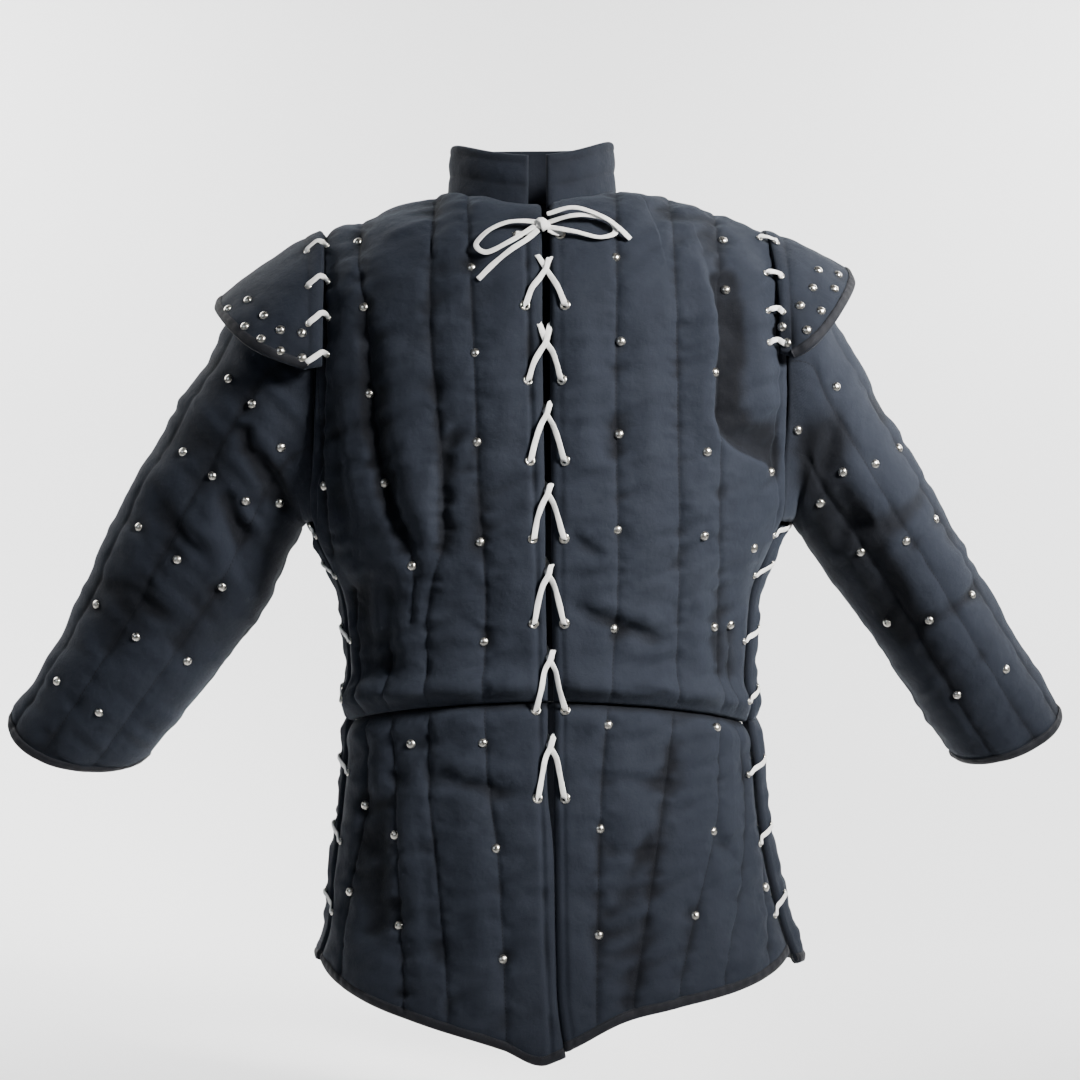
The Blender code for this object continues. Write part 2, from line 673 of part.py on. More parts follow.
def sleeve_rings(side, places, count=RING_POINTS):
    """Outer rings of a sleeve: the armhole at 0, then the arm's sections to the cuff at 1."""
    first = armhole(side, count)
    turn = 2 * math.pi * np.arange(count) / count
    rings = []
    rows = SLEEVE[side]
    top, bottom = first[0], first[count // 2]
    at0 = (0.0, top[0], top[2], bottom[0], bottom[2], 0.0, 0.079)
    table = (at0,) + rows
    for at in places:
        get = lambda n: float(column(table, SLEEVE_COLUMNS, n, at))
        outer = np.array([get("out_x"), 0, get("out_z")])
        inner = np.array([get("in_x"), 0, get("in_z")])
        middle, half = (outer + inner) / 2, (outer - inner) / 2
        middle[1] = get("mid_y")
        shape = (middle + np.cos(turn)[:, None] * half
                 + np.sin(turn)[:, None] * np.array([0, -get("deep"), 0]))
        blend = max(0.0, 1 - at / 0.10)
        blend = blend * blend * (3 - 2 * blend)
        rings.append(first * blend + shape * (1 - blend))
    return np.array(rings)


SLEEVE_PLACES = (0, 0.05, 0.10, 0.18, 0.27, 0.37, 0.48, 0.59, 0.70, 0.80, 0.90, 1.0)


def ring_inward(rings):
    """Unit directions from each ring point to the inside of the tube."""
    along = np.gradient(rings, axis=0)
    around = np.roll(rings, -1, axis=1) - np.roll(rings, 1, axis=1)
    n = np.cross(along, around)
    n /= np.linalg.norm(n, axis=-1, keepdims=True)
    middle = rings.mean(axis=1, keepdims=True)
    side = np.sign(np.sum(n * (middle - rings), axis=-1, keepdims=True))
    n = n * side
    # at the armhole the wall goes straight in across the opening
    flat = middle[0] - rings[0]
    flat[:, 0] = 0
    n[0] = flat / np.linalg.norm(flat, axis=-1, keepdims=True)
    return n


sleeves = {}
for side in (LEFT, RIGHT):
    rings = sleeve_rings(side, SLEEVE_PLACES)
    inward = ring_inward(rings)
    axis = rings[-1].mean(axis=0) - rings[-3].mean(axis=0)
    axis /= np.linalg.norm(axis)
    turn = 2 * math.pi * np.arange(RING_POINTS) / RING_POINTS
    lobe = CUFF_LOBE[side] * np.clip(np.sin(turn), 0, 1) ** 1.3
    for i, share in ((-1, 1.0), (-2, 0.45)):
        rings[i] += axis * (lobe * share)[:, None]
    cuff_end = rings[-1].copy()
    cuff_in = inward[-1]
    rings[-1] = cuff_end - axis * (BAND + SEAM)
    outer = np.swapaxes(rings, 0, 1)
    sleeves[side] = shell("sleeve_" + side_name(side), outer,
                          outer + np.swapaxes(inward, 0, 1) * WALL, cloth, ring=True)
    band = np.stack([cuff_end - axis * BAND, cuff_end], 1) - cuff_in[:, None] * BAND_PROUD
    shell("cuff_binding_" + side_name(side), band, band + cuff_in[:, None] * (WALL + 2 * BAND_PROUD),
          trim, ring=True)


# ---------------------------------------------------------------- shoulder wings
def wing_base(side, along):
    """The wing's foot on the body cloth: along -1 at the front corner, 0 on top, 1 behind."""
    along = np.asarray(along, float)
    front = upper(side, False, WING_INNER, 2 - np.abs(along) * WING_LOW[side])
    back = upper(side, True, WING_INNER, 2 - np.abs(along) * WING_LOW[side])
    return np.where((along < 0)[..., None], front, back)


WING_LOW = {LEFT: 1.10, RIGHT: 1.07}


def wing_points(side, along, t):
    """t 0 at the foot, 1 at the outer hem."""
    along, t = np.broadcast_arrays(np.asarray(along, float), np.asarray(t, float))
    foot = wing_base(side, along)
    foot_out = foot - wing_centre(side)
    foot_out[..., 0] *= 0.0
    foot_out /= np.linalg.norm(foot_out, axis=-1, keepdims=True)
    foot = foot + foot_out * (WALL + WING_RISE)
    near = 1 - np.abs(along)
    tip = np.stack([column(WING[side], WING_COLUMNS, "x", near),
                    column(WING[side], WING_COLUMNS, "y", near) * np.where(along < 0, 1, -0.95),
                    column(WING[side], WING_COLUMNS, "z", near)], -1)
    mid = (foot + tip) / 2 + foot_out * 0.006
    mid[..., 0] += side * 0.004
    t = t[..., None]
    return foot * (1 - t) ** 2 + mid * 2 * t * (1 - t) + tip * t * t


def wing_centre(side):
    return np.array([0.23 * side, 0.0, -0.19])


def wing_out(side):
    def rule(p):
        out = p - wing_centre(side)
        out[..., 0] *= 0.3
        return out
    return rule


along_rows = np.linspace(-0.985, 0.985, 19)
wings = {}
for side in (LEFT, RIGHT):
    name = side_name(side)
    surface = lambda a, t, side=side: wing_points(side, a, t)
    widths = np.linalg.norm(wing_points(side, along_rows, 1.0) - wing_points(side, along_rows, 0.0), axis=-1)
    stop = 1 - (BAND + SEAM) / np.maximum(widths, 0.02)
    t_rows = np.linspace(0, 1, 4)
    aa = np.repeat(along_rows[:, None], len(t_rows), 1)
    tt = t_rows[None, :] * stop[:, None]
    here, n = normals(surface, aa, tt, wing_out(side))
    wings[side] = shell("wing_" + name, here, here - n * WALL, cloth)
    rows, stop, widths = along_rows[1:-1], stop[1:-1], widths[1:-1]
    tt = stop[:, None] + np.maximum(SEAM * 6 / widths[:, None], 0) * np.array([1.0, 0.0])[None, :] + (1 - stop[:, None]) * np.array([0.0, 1.0])
    aa = np.repeat(rows[:, None], 2, 1)
    here, n = normals(surface, aa, tt, wing_out(side))
    here = here + n * BAND_PROUD
    shell("wing_binding_" + name, here, here - n * (WALL + 2 * BAND_PROUD), trim)


# ---------------------------------------------------------------- eyelets and lacing
holes = {key: [] for key in bodies}
wing_holes = {LEFT: [], RIGHT: []}


def front_surface(side):
    return lambda s, v: upper(side, False, s, v)


def spot(side, x, z):
    """Surface point, normal and place of a spot on a front, given in front elevation."""
    s, v = solve(front_surface(side), (0.15, 0.8), x, z)
    centre, n = frame_at(front_surface(side), s, v)
    push = front_push
    if z < WAIST_MIDDLE:
        top, low = skirt(side, False, s, 0.0)[2], skirt(side, False, s, 1.0)[2]
        push, v = skirt_push, (top - z) / (top - low)
    return centre + n * float(push(centre[None, None], np.array([[s]]), np.array([[v]]))[0, 0]), n


def torus(name, centre, n):
    bpy.ops.mesh.primitive_torus_add(major_radius=RING / 2, minor_radius=RING_WIRE / 2,
                                     major_segments=12, minor_segments=5)
    ob = bpy.context.object
    ob.name = name
    ob.data.name = name
    for user in list(ob.users_collection):
        user.objects.unlink(ob)
    coat.objects.link(ob)
    ob.rotation_mode = "QUATERNION"
    ob.rotation_quaternion = Vector(n).to_track_quat("Z", "Y")
    ob.location = Vector(centre + n * (RING_WIRE / 2 + 0.0005))
    ob.data.materials.append(nickel)
    ob.data.shade_smooth()
    return ob


pairs = []
for i, (x_left, x_right, z) in enumerate(EYELETS):
    pair = {}
    for side, x in ((LEFT, x_left), (RIGHT, x_right)):
        pair[side] = spot(side, x, z)
        holes[side if z > WAIST_MIDDLE else ("skirt", side)].append(pair[side])
        torus(f"eyelet_{side_name(side)}_{i + 1}", *pair[side])
    pairs.append(pair)

OUT = CORD / 2 + 0.0009
EYELET_RISE = RING_WIRE + CORD / 2 + 0.0012
BEHIND = WALL + CORD / 2 + 0.0012


def opening_at(z):
    return (float(column(OPENING, OPENING_COLUMNS, "left", z)),
            float(column(OPENING, OPENING_COLUMNS, "right", z)))


def gap_middle(z):
    """The middle of the front opening at a height, on the line of the cloth's outside."""
    x_left, x_right = opening_at(z)
    sides = [spot(LEFT, x_left, z)[0], spot(RIGHT, x_right, z)[0]]
    return (x_left + x_right) / 2, (sides[0][1] + sides[1][1]) / 2


def lacing(start):
    """One end of the front lace, from behind the lowest eyelets up to the top eyelet."""
    side = start
    low = pairs[-1][side]
    run = [low[0] - low[1] * (BEHIND + 0.0006) + np.array([-side * 0.0095, 0, -0.001])]
    for i in range(len(pairs) - 1, 0, -1):
        centre, n = pairs[i][side]
        z_cross = (centre[2] + pairs[i - 1][-side][0][2]) / 2
        x_left, x_right = opening_at(z_cross)
        near = x_left if side < 0 else x_right
        mid, y = gap_middle(z_cross)
        over = (start == LEFT) != (i % 2 == 0)
        lift = CORD + 0.0006 if over else 0.0
        dive = 0.018 if over else 0.010
        mid_in, y_in = gap_middle(z_cross + dive)
        on_edge, m = spot(side, near + side * 0.0035, z_cross - 0.009)
        far = spot(-side, (x_right if side < 0 else x_left) - side * 0.0040, z_cross + dive + 0.007)
        run += [centre - n * BEHIND, centre - n * WALL / 2, centre + n * EYELET_RISE,
                on_edge + m * (OUT + 0.0014 + lift * 0.7),
                np.array([mid, y - OUT - 0.0010 - lift, z_cross]),
                np.array([mid_in, y_in - 0.0005 - lift * 0.4, z_cross + dive - 0.002]),
                np.array([mid_in, y_in + WALL + CORD / 2 + 0.0010, z_cross + dive]),
                far[0] - far[1] * (BEHIND + 0.0012)]
        side = -side
    centre, n = pairs[0][side]
    run += [centre - n * BEHIND, centre - n * WALL / 2, centre + n * EYELET_RISE]
    return run, side


def on_cloth(x, z, rise):
    """A point over the fronts at a place of the front elevation."""
    here, n = spot(LEFT if x < 0.005 else RIGHT, x, z)
    return here + n * rise


for start in (LEFT, RIGHT):
    run, side = lacing(start)
    end = on_cloth(KNOT[0] + side * 0.0075, KNOT[1] - 0.0105, 0.0030)
    run.append(end)
    tube("front_lace_" + side_name(start), run_through(run, 0.0130), lace)

for name, points in BOW.items():
    tube(name, run_through([on_cloth(*p) for p in points], 0.0075), lace)
knot_at = on_cloth(KNOT[0], KNOT[1], KNOT_SIZE[1] / 2 + 0.0030)
bpy.ops.mesh.primitive_uv_sphere_add(segments=12, ring_count=8, radius=0.5)
knot = bpy.context.object
knot.name = knot.data.name = "bow_knot"
for user in list(knot.users_collection):
    user.objects.unlink(knot)
coat.objects.link(knot)
knot.scale = KNOT_SIZE
knot.location = Vector(knot_at)
knot.data.materials.append(lace)
knot.data.shade_smooth()


def across_step(points, s, v, length, toward):
    """The place s moved by a length across the panel."""
    here, there = points(s, v), points(s - 1e-3, v)
    return s - toward * length / (np.linalg.norm(here - there) / 1e-3)


def side_spot(side, back, z, inset):
    """Point and normal near a panel's side edge at a height; a negative inset is past the edge."""
    surface = lambda s, v: upper(side, back, s, v)
    low = float(waist(side, back, 1.0))
    v = (z - low) / (CHEST - low)
    return frame_at(surface, across_step(surface, 1.0, v, inset, 1), v)


for side in (LEFT, RIGHT):
    run = []
    for i, z in enumerate(SIDE_LACE_HEIGHTS):
        front, n1 = side_spot(side, False, z, SIDE_LACE_IN)
        edge1, m1 = side_spot(side, False, z + SIDE_LACE_SLOPE * 0.35, 0.0015)
        edge2, m2 = side_spot(side, True, z + SIDE_LACE_SLOPE * 0.65, 0.0015)
        behind, n2 = side_spot(side, True, z + SIDE_LACE_SLOPE, SIDE_LACE_IN)
        low = z < WAIST_SIDE
        holes["skirt", side].append((front, n1)) if low else holes[side].append((front, n1))
        holes["back_skirt" if low else "back"].append((behind, n2))
        run += [front - n1 * BEHIND, front - n1 * WALL / 2, front + n1 * OUT,
                edge1 + m1 * (OUT + 0.0012), edge2 + m2 * (OUT + 0.0012),
                behind + n2 * OUT, behind - n2 * WALL / 2, behind - n2 * BEHIND]
    tube("side_lace_" + side_name(side), run_through(run, 0.0108), lace)

for side in (LEFT, RIGHT):
    run = []
    surface = lambda a, t, side=side: wing_points(side, a, t)
    for along in [-r for r in WING_LACE_ROWS] + list(reversed(WING_LACE_ROWS)):
        back = along > 0
        body = lambda s, v, back=back: upper(side, back, s, v)
        v = 2 - abs(along) * WING_LOW[side]
        s = float(across_step(body, WING_INNER, v, WING_LACE_IN, 1))
        at_body, n1 = frame_at(body, s, v)
        width = np.linalg.norm(surface(along, 1.0) - surface(along, 0.0))
        here, n = normals(surface, np.array([[along]]), np.array([[WING_LACE_IN / width]]), wing_out(side))
        at_wing, n2 = here[0, 0], n[0, 0]
        under, n3 = frame_at(body, float(across_step(body, WING_INNER, v, -WING_LACE_IN, 1)), v)
        top, low = at_wing + n2 * (OUT + 0.0006), under - n3 * (BEHIND + 0.0034)
        edge = surface(along, 0.0) + n2 * (OUT + 0.0016)
        through = (top - low) / np.linalg.norm(top - low)
        middle = (top + low) / 2
        holes["back" if back else side] += [(at_body, n1), (middle, through)]
        wing_holes[side].append((middle, through))
        run += [at_body - n1 * BEHIND, at_body - n1 * WALL / 2, at_body + n1 * (OUT + 0.0012), edge,
                top, middle, low]
    tube("shoulder_lace_" + side_name(side), run_through(run, 0.0100), lace)

for key, spots in holes.items():
    label = key if isinstance(key, str) else "_".join(
        side_name(k) if isinstance(k, int) else k for k in (key if isinstance(key, tuple) else (key,)))
    cut(bodies[key], hole_cutter("eyelets_" + label, spots))
for side, spots in wing_holes.items():
    cut(wings[side], hole_cutter("wing_eyelets_" + side_name(side), spots))
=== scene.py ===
"""Looks of the gambeson: quilted canvas with folds, tape, laces, studs and eyelets.

Metres, +Z up, the front towards -Y, "left" is the -X side, as in the part itself. The padded
pieces are made again on the part's own surfaces with their quilting, folds and puckers.
"""

import logging
import math
from dataclasses import dataclass, field
from enum import Enum
from typing import Callable, Sequence

import bpy
import numpy as np
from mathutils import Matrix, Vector
from mathutils.bvhtree import BVHTree

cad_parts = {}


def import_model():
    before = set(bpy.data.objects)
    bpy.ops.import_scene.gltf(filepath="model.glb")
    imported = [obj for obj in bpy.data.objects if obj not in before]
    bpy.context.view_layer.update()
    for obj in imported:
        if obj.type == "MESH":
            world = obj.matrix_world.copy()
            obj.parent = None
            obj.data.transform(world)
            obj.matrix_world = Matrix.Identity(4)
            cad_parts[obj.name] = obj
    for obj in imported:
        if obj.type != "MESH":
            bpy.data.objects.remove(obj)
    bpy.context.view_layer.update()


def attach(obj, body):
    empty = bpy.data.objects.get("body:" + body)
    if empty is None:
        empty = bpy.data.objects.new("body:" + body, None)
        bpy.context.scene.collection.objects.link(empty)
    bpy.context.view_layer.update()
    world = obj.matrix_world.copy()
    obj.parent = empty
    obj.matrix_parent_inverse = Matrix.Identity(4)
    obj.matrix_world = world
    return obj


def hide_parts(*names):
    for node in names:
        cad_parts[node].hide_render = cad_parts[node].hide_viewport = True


LOG = logging.getLogger("gambeson")
Grid = np.ndarray
Surface = Callable[[Grid, Grid], Grid]
Colour = tuple[float, float, float, float]
Rows = tuple[tuple[float, ...], ...]
Spot = tuple[Grid, Grid]
Pair = tuple[float, float]
Triple = tuple[float, float, float]
Piece = bpy.types.Object
Cover = bpy.types.Material
ROOT = "root"
STEP = 1e-4
FAR = 0.05
SINK = 0.003


class Side(Enum):
    """The two sides of the coat, by the sign of X."""

    LEFT = -1
    RIGHT = 1

    @property
    def word(self) -> str:
        """The side's name as it stands in the node names."""
        return self.name.lower()


class Slot(Enum):
    """The record's material slots."""

    CLOTH = "padded_cloth"
    BINDING = "binding_cloth"
    LACE = "lace_cotton"
    METAL = "nickel"


# ---- tables and curves
def smooth(xs: Grid, ys: Grid, at: Grid) -> Grid:
    """Read a smooth curve through rows of a table.

    Args:
        xs: places of the rows, rising.
        ys: values of the rows.
        at: places to read, held inside the table.

    Returns:
        The values at those places.
    """
    xs, ys = np.asarray(xs, float), np.asarray(ys, float)
    at = np.clip(np.asarray(at, float), xs[0], xs[-1])
    slope = np.gradient(ys, xs)
    i = np.clip(np.searchsorted(xs, at, side="right") - 1, 0, len(xs) - 2)
    h = xs[i + 1] - xs[i]
    u = (at - xs[i]) / h
    return (
        (2 * u**3 - 3 * u**2 + 1) * ys[i]
        + (u**3 - 2 * u**2 + u) * h * slope[i]
        + (3 * u**2 - 2 * u**3) * ys[i + 1]
        + (u**3 - u**2) * h * slope[i + 1]
    )


@dataclass(frozen=True)
class Table:
    """Rows of sizes with named columns, read smoothly by the first column."""

    columns: tuple[str, ...]
    rows: Rows

    def read(self, name: str, at: Grid) -> Grid:
        """Values of one named column at any places of the first column."""
        table = np.asarray(self.rows, float)
        return smooth(table[:, 0], table[:, self.columns.index(name)], at)


def mm(*rows: Sequence[float]) -> Rows:
    """Rows of millimetres as metres."""
    return tuple(tuple(value / 1000 for value in row) for row in rows)


def run_through(points: Sequence[Grid], spacing: float) -> Grid:
    """Draw a smooth run through points.

    Args:
        points: the points, each of which is kept; columns past the third are carried along.
        spacing: about the distance between the points of the result.

    Returns:
        The points of the run.
    """
    p = np.asarray(points, float)
    gaps = np.linalg.norm(np.diff(p[:, :3], axis=0), axis=1)
    along = np.concatenate([[0], np.cumsum(np.maximum(gaps, 1e-5) ** 0.5)])
    at = [0.0]
    for i, gap in enumerate(gaps):
        count = max(1, int(round(gap / spacing)))
        at += list(along[i] + (along[i + 1] - along[i]) * np.arange(1, count + 1) / count)
    return np.stack([smooth(along, p[:, k], at) for k in range(p.shape[1])], -1)


def step_up(low: float, high: float, value: Grid) -> Grid:
    """A soft step from 0 to 1 between two values."""
    t = np.clip((value - low) / (high - low), 0, 1)
    return t * t * (3 - 2 * t)


def bell(distance: Grid, reach: float | Grid) -> Grid:
    """1 at no distance, falling softly to nothing past the reach."""
    return np.exp(-((distance / reach) ** 2))


def unit(v: Grid) -> Grid:
    """Vectors made one long."""
    return v / np.maximum(np.linalg.norm(v, axis=-1, keepdims=True), 1e-12)


def measure(v: Grid) -> Grid:
    """Lengths of vectors."""
    return np.linalg.norm(v, axis=-1)


def outwards(n: Grid, out: Grid) -> Grid:
    """Normals turned to the side that the directions out are on."""
    return n * np.sign(np.sum(n * out, axis=-1, keepdims=True))


def run_length(points: Grid) -> Grid:
    """Length along a run at each of its points."""
    return np.concatenate([[0], np.cumsum(measure(np.diff(points, axis=0)))])


def facing(surface: Surface, s: Grid, v: Grid) -> Grid:
    """Unit normals of a surface, on either side."""
    return unit(np.cross(surface(s + STEP, v) - surface(s - STEP, v),
                         surface(s, v + STEP) - surface(s, v - STEP)))


def set_in(surface: Surface, start: float, inset: float, v: float) -> tuple[Grid, Grid, float]:
    """A point set in from a place across a panel, its normal, and the panel's real width there."""
    width = measure(surface(start, v) - surface(start - 0.01, v)) / 0.01
    s = start - inset / width
    return surface(s, v), facing(surface, s, v), width


def quads(i: Grid, j: Grid, number: Callable[[Grid, Grid], Grid], skip: int = 1) -> Grid:
    """Faces of four points between the rows i and columns j of a grid.

    Args:
        i: the rows that start a face.
        j: the columns that start a face.
        number: gives the number of the point in a row and column.
        skip: how many rows and columns a face spans.

    Returns:
        One face to a row.
    """
    i, j = i[:, None], j[None, :]
    corners = (number(i, j), number(i + skip, j), number(i + skip, j + skip), number(i, j + skip))
    return np.stack(np.broadcast_arrays(*corners), -1).reshape(-1, 4)


# ---- the torso's shape
@dataclass(frozen=True)
class TorsoShape:
    """The coat's body surfaces, with the same sizes as the part."""

    wall: float = 0.008
    seam: float = 0.0003
    chest: float = -0.15
    underarm: float = -0.335
    neck: Pair = (-0.008, -0.005)
    neck_half: float = 0.086
    neck_deep: float = 0.071
    neck_share: float = 0.36
    waist_middle: float = -0.511
    waist_side: float = -0.537
    waist_back: float = -0.53
    sections: Table = Table(("z", "centre", "half", "front", "back", "square"), (
        (-0.9, 0.021, 0.27, 0.184, 0.168, 2.15), (-0.785, 0.0203, 0.253, 0.174, 0.158, 2.15),
        (-0.747, 0.0195, 0.24, 0.168, 0.152, 2.15), (-0.696, 0.0148, 0.231, 0.161, 0.144, 2.18),
        (-0.631, 0.0127, 0.222, 0.152, 0.134, 2.2), (-0.577, 0.0133, 0.2172, 0.145, 0.126, 2.22),
        (-0.523, 0.011, 0.212, 0.14, 0.12, 2.25), (-0.459, 0.0114, 0.2122, 0.143, 0.12, 2.28),
        (-0.396, 0.0094, 0.2205, 0.149, 0.126, 2.3), (-0.368, 0.008, 0.2335, 0.152, 0.13, 2.32),
        (-0.335, 0.0088, 0.246, 0.155, 0.134, 2.35), (-0.26, 0.01, 0.256, 0.157, 0.14, 2.4),
        (-0.2, 0.011, 0.259, 0.155, 0.142, 2.42), (-0.15, 0.011, 0.259, 0.15, 0.14, 2.42),
        (-0.1, 0.011, 0.259, 0.145, 0.136, 2.42)))
    opening: Table = Table(("z", "left", "right"), mm(
        (-900, 26.2, 27), (-850, 24.6, 25.4), (-825, 20.2, 21), (-799, 16.8, 17.6), (-751, 15, 15.8),
        (-690, 13.9, 14.7), (-645, 12.4, 13.8), (-605, 7.8, 13.3), (-510, 7.8, 13.3), (-412, 5.6, 11.3),
        (-315, 4.8, 10.8), (-218, 3, 9.8), (-121, 2, 9.7), (-20, 1, 9.2)))
    sides: Table = Table(("z", "front_left", "front_right", "back_left", "back_right"), mm(
        (-900, -50, -68, -33, -50), (-600, -47, -64, -30, -46), (-400, -46, -62, -29, -45),
        (-345, -47, -60, -22, -35), (-332, -52, -62, 4, -4), (-310, -61, -68, 34, 30),
        (-280, -71, -74, 55, 53), (-240, -78, -79, 69, 68), (-200, -81, -81, 75, 75),
        (-150, -79, -79, 75, 75), (-100, -77, -77, 74, 74)))
    hem: Table = Table(("across", "left", "right", "back"), (
        (0.0, -0.848, -0.8435, -0.806), (0.045, -0.8555, -0.836, -0.806), (0.15, -0.842, -0.819, -0.806),
        (0.35, -0.825, -0.805, -0.804), (0.6, -0.808, -0.794, -0.798), (0.8, -0.794, -0.783, -0.791),
        (1.0, -0.78, -0.769, -0.783)))
    shoulder_left: Table = Table(("x", "z"), mm(
        (70, 8), (94, 2), (146, -12.5), (169, -21), (202, -32), (225, -42), (245, -55), (265, -72)))
    shoulder_right: Table = Table(("x", "z"), mm(
        (60, 12), (78, 6), (145, -10), (176, -21), (214, -35.5), (236, -48), (249, -58), (265, -72)))
    tip_left: float = 0.245
    tip_right: float = 0.249

    def shoulder(self, side: Side) -> Table:
        """The shoulder line of one side."""
        return getattr(self, "shoulder_" + side.word)

    def hull(self, theta: Grid, z: Grid) -> Spot:
        """Read the torso's outside.

        Args:
            theta: angle from the front, + towards +X.
            z: height.

        Returns:
            x and y.
        """
        n = self.sections.read("square", z)
        s, c = np.sin(theta), np.cos(theta)
        half = self.sections.read("half", z)
        x = self.sections.read("centre", z) + half * np.sign(s) * np.abs(s) ** (2 / n)
        deep = np.where(c > 0, -self.sections.read("front", z), self.sections.read("back", z))
        return x, deep * np.abs(c) ** (2 / n)

    def angle_at_x(self, x: Grid, z: Grid) -> Grid:
        """The front angle whose point has this x."""
        share = (x - self.sections.read("centre", z)) / self.sections.read("half", z)
        share = np.clip(share, -0.999, 0.999)
        n = self.sections.read("square", z)
        return np.arcsin(np.sign(share) * np.abs(share) ** (n / 2))

    def angle_at_y(self, y: Grid, z: Grid) -> Grid:
        """The angle, 0 to pi, whose point has this y."""
        n = self.sections.read("square", z)
        fore, aft = self.sections.read("front", z), self.sections.read("back", z)
        front = np.arccos(np.clip(np.abs(y) / fore, 0, 1) ** (n / 2))
        back = math.pi - np.arccos(np.clip(np.abs(y) / aft, 0, 1) ** (n / 2))
        return np.where(y < 0, front, back)

    def panel_angle(self, side: Side, back: bool, s: Grid, z: Grid) -> Grid:
        """The angle s of the way across a panel, from its middle or front edge to its side."""
        place = ("back_" if back else "front_") + side.word
        edge = side.value * self.angle_at_y(self.sides.read(place, z), z)
        middle = side.value * math.pi if back else self.angle_at_x(self.opening.read(side.word, z), z)
        return middle + (edge - middle) * s

    def top_edge(self, side: Side, back: bool, s: Grid) -> tuple[Grid, Grid, Grid]:
        """Read a panel's neckline and shoulder seam.

        Args:
            side: the panel's side.
            back: whether it is a back panel.
            s: share of the way from the middle to the shoulder tip.

        Returns:
            x, y and z.
        """
        sign = side.value
        z_front = 0.01 if back else -0.018
        s = np.asarray(s, float)
        open_x = 0.0 if back else self.opening.rows[-1][1 if side is Side.LEFT else 2]
        start = 0.0 if back else math.asin((open_x - self.neck[0]) / self.neck_half * sign)
        turn = start + (math.pi / 2 - start) * np.clip(s / self.neck_share, 0, 1)
        neck_x = self.neck[0] + sign * self.neck_half * np.sin(turn)
        neck_y = self.neck[1] + (1 if back else -1) * self.neck_deep * np.cos(turn)
        corner_x = self.neck[0] + sign * self.neck_half
        corner_z = self.shoulder(side).read("z", sign * corner_x)
        neck_z = z_front + (corner_z - z_front) * np.sin(turn) ** 2
        tip = getattr(self, "tip_" + side.word)
        along = np.clip((s - self.neck_share) / (1 - self.neck_share), 0, 1)
        seam_x = corner_x + (sign * tip - corner_x) * along
        seam_z = self.shoulder(side).read("z", sign * seam_x)
        seam_y = self.neck[1] + (1 if back else -1) * self.seam / 2
        on_neck = s < self.neck_share
        return (np.where(on_neck, neck_x, seam_x), np.where(on_neck, neck_y, seam_y),
                np.where(on_neck, neck_z, seam_z))

    def waist(self, back: bool, s: Grid) -> Grid:
        """Height of the waist seam s of the way across a panel."""
        middle = self.waist_back if back else self.waist_middle
        return middle + (self.waist_side - middle) * np.abs(np.asarray(s, float)) ** 1.5

    def upper(self, side: Side, back: bool, s: Grid, v: Grid) -> Grid:
        """Points of an upper panel: v 0 at the waist, 1 at the chest, 2 on the top edge."""
        s, v = np.broadcast_arrays(np.asarray(s, float), np.asarray(v, float))
        low = self.waist(back, s)
        z = low + (self.chest - low) * np.minimum(v, 1)
        x, y = self.hull(self.panel_angle(side, back, s, z), z)
        x_top, y_top, z_top = self.top_edge(side, back, s)
        roll = np.clip(v - 1, 0, 1.05) * math.pi / 2
        y = y_top + (y - y_top) * np.cos(roll)
        x = x + (x_top - x) * (1 - np.cos(roll))
        z = z + (z_top - z) * np.sin(roll)
        return np.stack([x, y, z], -1)

    def skirt(self, side: Side, back: bool, s: Grid, v: Grid) -> Grid:
        """Points of a skirt panel: v 0 at the waist seam, 1 at the hem."""
        s, v = np.broadcast_arrays(np.asarray(s, float), np.asarray(v, float))
        top = self.waist(back, s) - self.seam
        low = self.hem.read("back" if back else side.word, s)
        z = top + (low - top) * v
        x, y = self.hull(self.panel_angle(side, back, s, z), z)
        return np.stack([x, y, z], -1)


def both_halves(points: Callable[[Side, bool, Grid, Grid], Grid]) -> Surface:
    """Join the two halves of a back panel.

    Args:
        points: the surface of one half.

    Returns:
        One surface over s from -1 to 1.
    """

    def joined(s: Grid, v: Grid) -> Grid:
        """Points of the joined panel."""
        s, v = np.broadcast_arrays(np.asarray(s, float), np.asarray(v, float))
        left = points(Side.LEFT, True, np.abs(s), v)
        right = points(Side.RIGHT, True, np.abs(s), v)
        return np.where((s < 0)[..., None], left, right)

    return joined


# ---- relief of padded cloth
def lattice_noise(p: Grid, size: float | Grid, seed: int) -> Grid:
    """Smooth value noise.

    Args:
        p: places, any shape of three numbers.
        size: the size of a lump, one number or one for each axis.
        seed: which noise it is.

    Returns:
        Values from about -1 to 1.
    """
    table = np.random.default_rng(seed).uniform(-1, 1, 4096)
    q = p / np.asarray(size, float) + 137.3
    i = np.floor(q).astype(np.int64)
    f = q - i
    f = f * f * (3 - 2 * f)
    total = np.zeros(p.shape[:-1])
    for corner in range(8):
        bit = np.array([corner & 1, corner >> 1 & 1, corner >> 2 & 1])
        key = ((i + bit) * np.array([73856093, 19349663, 83492791])).sum(-1)
        share = np.prod(np.where(bit == 1, f, 1 - f), axis=-1)
        total += table[(key ^ (key >> 7)) % 4096] * share
    return total


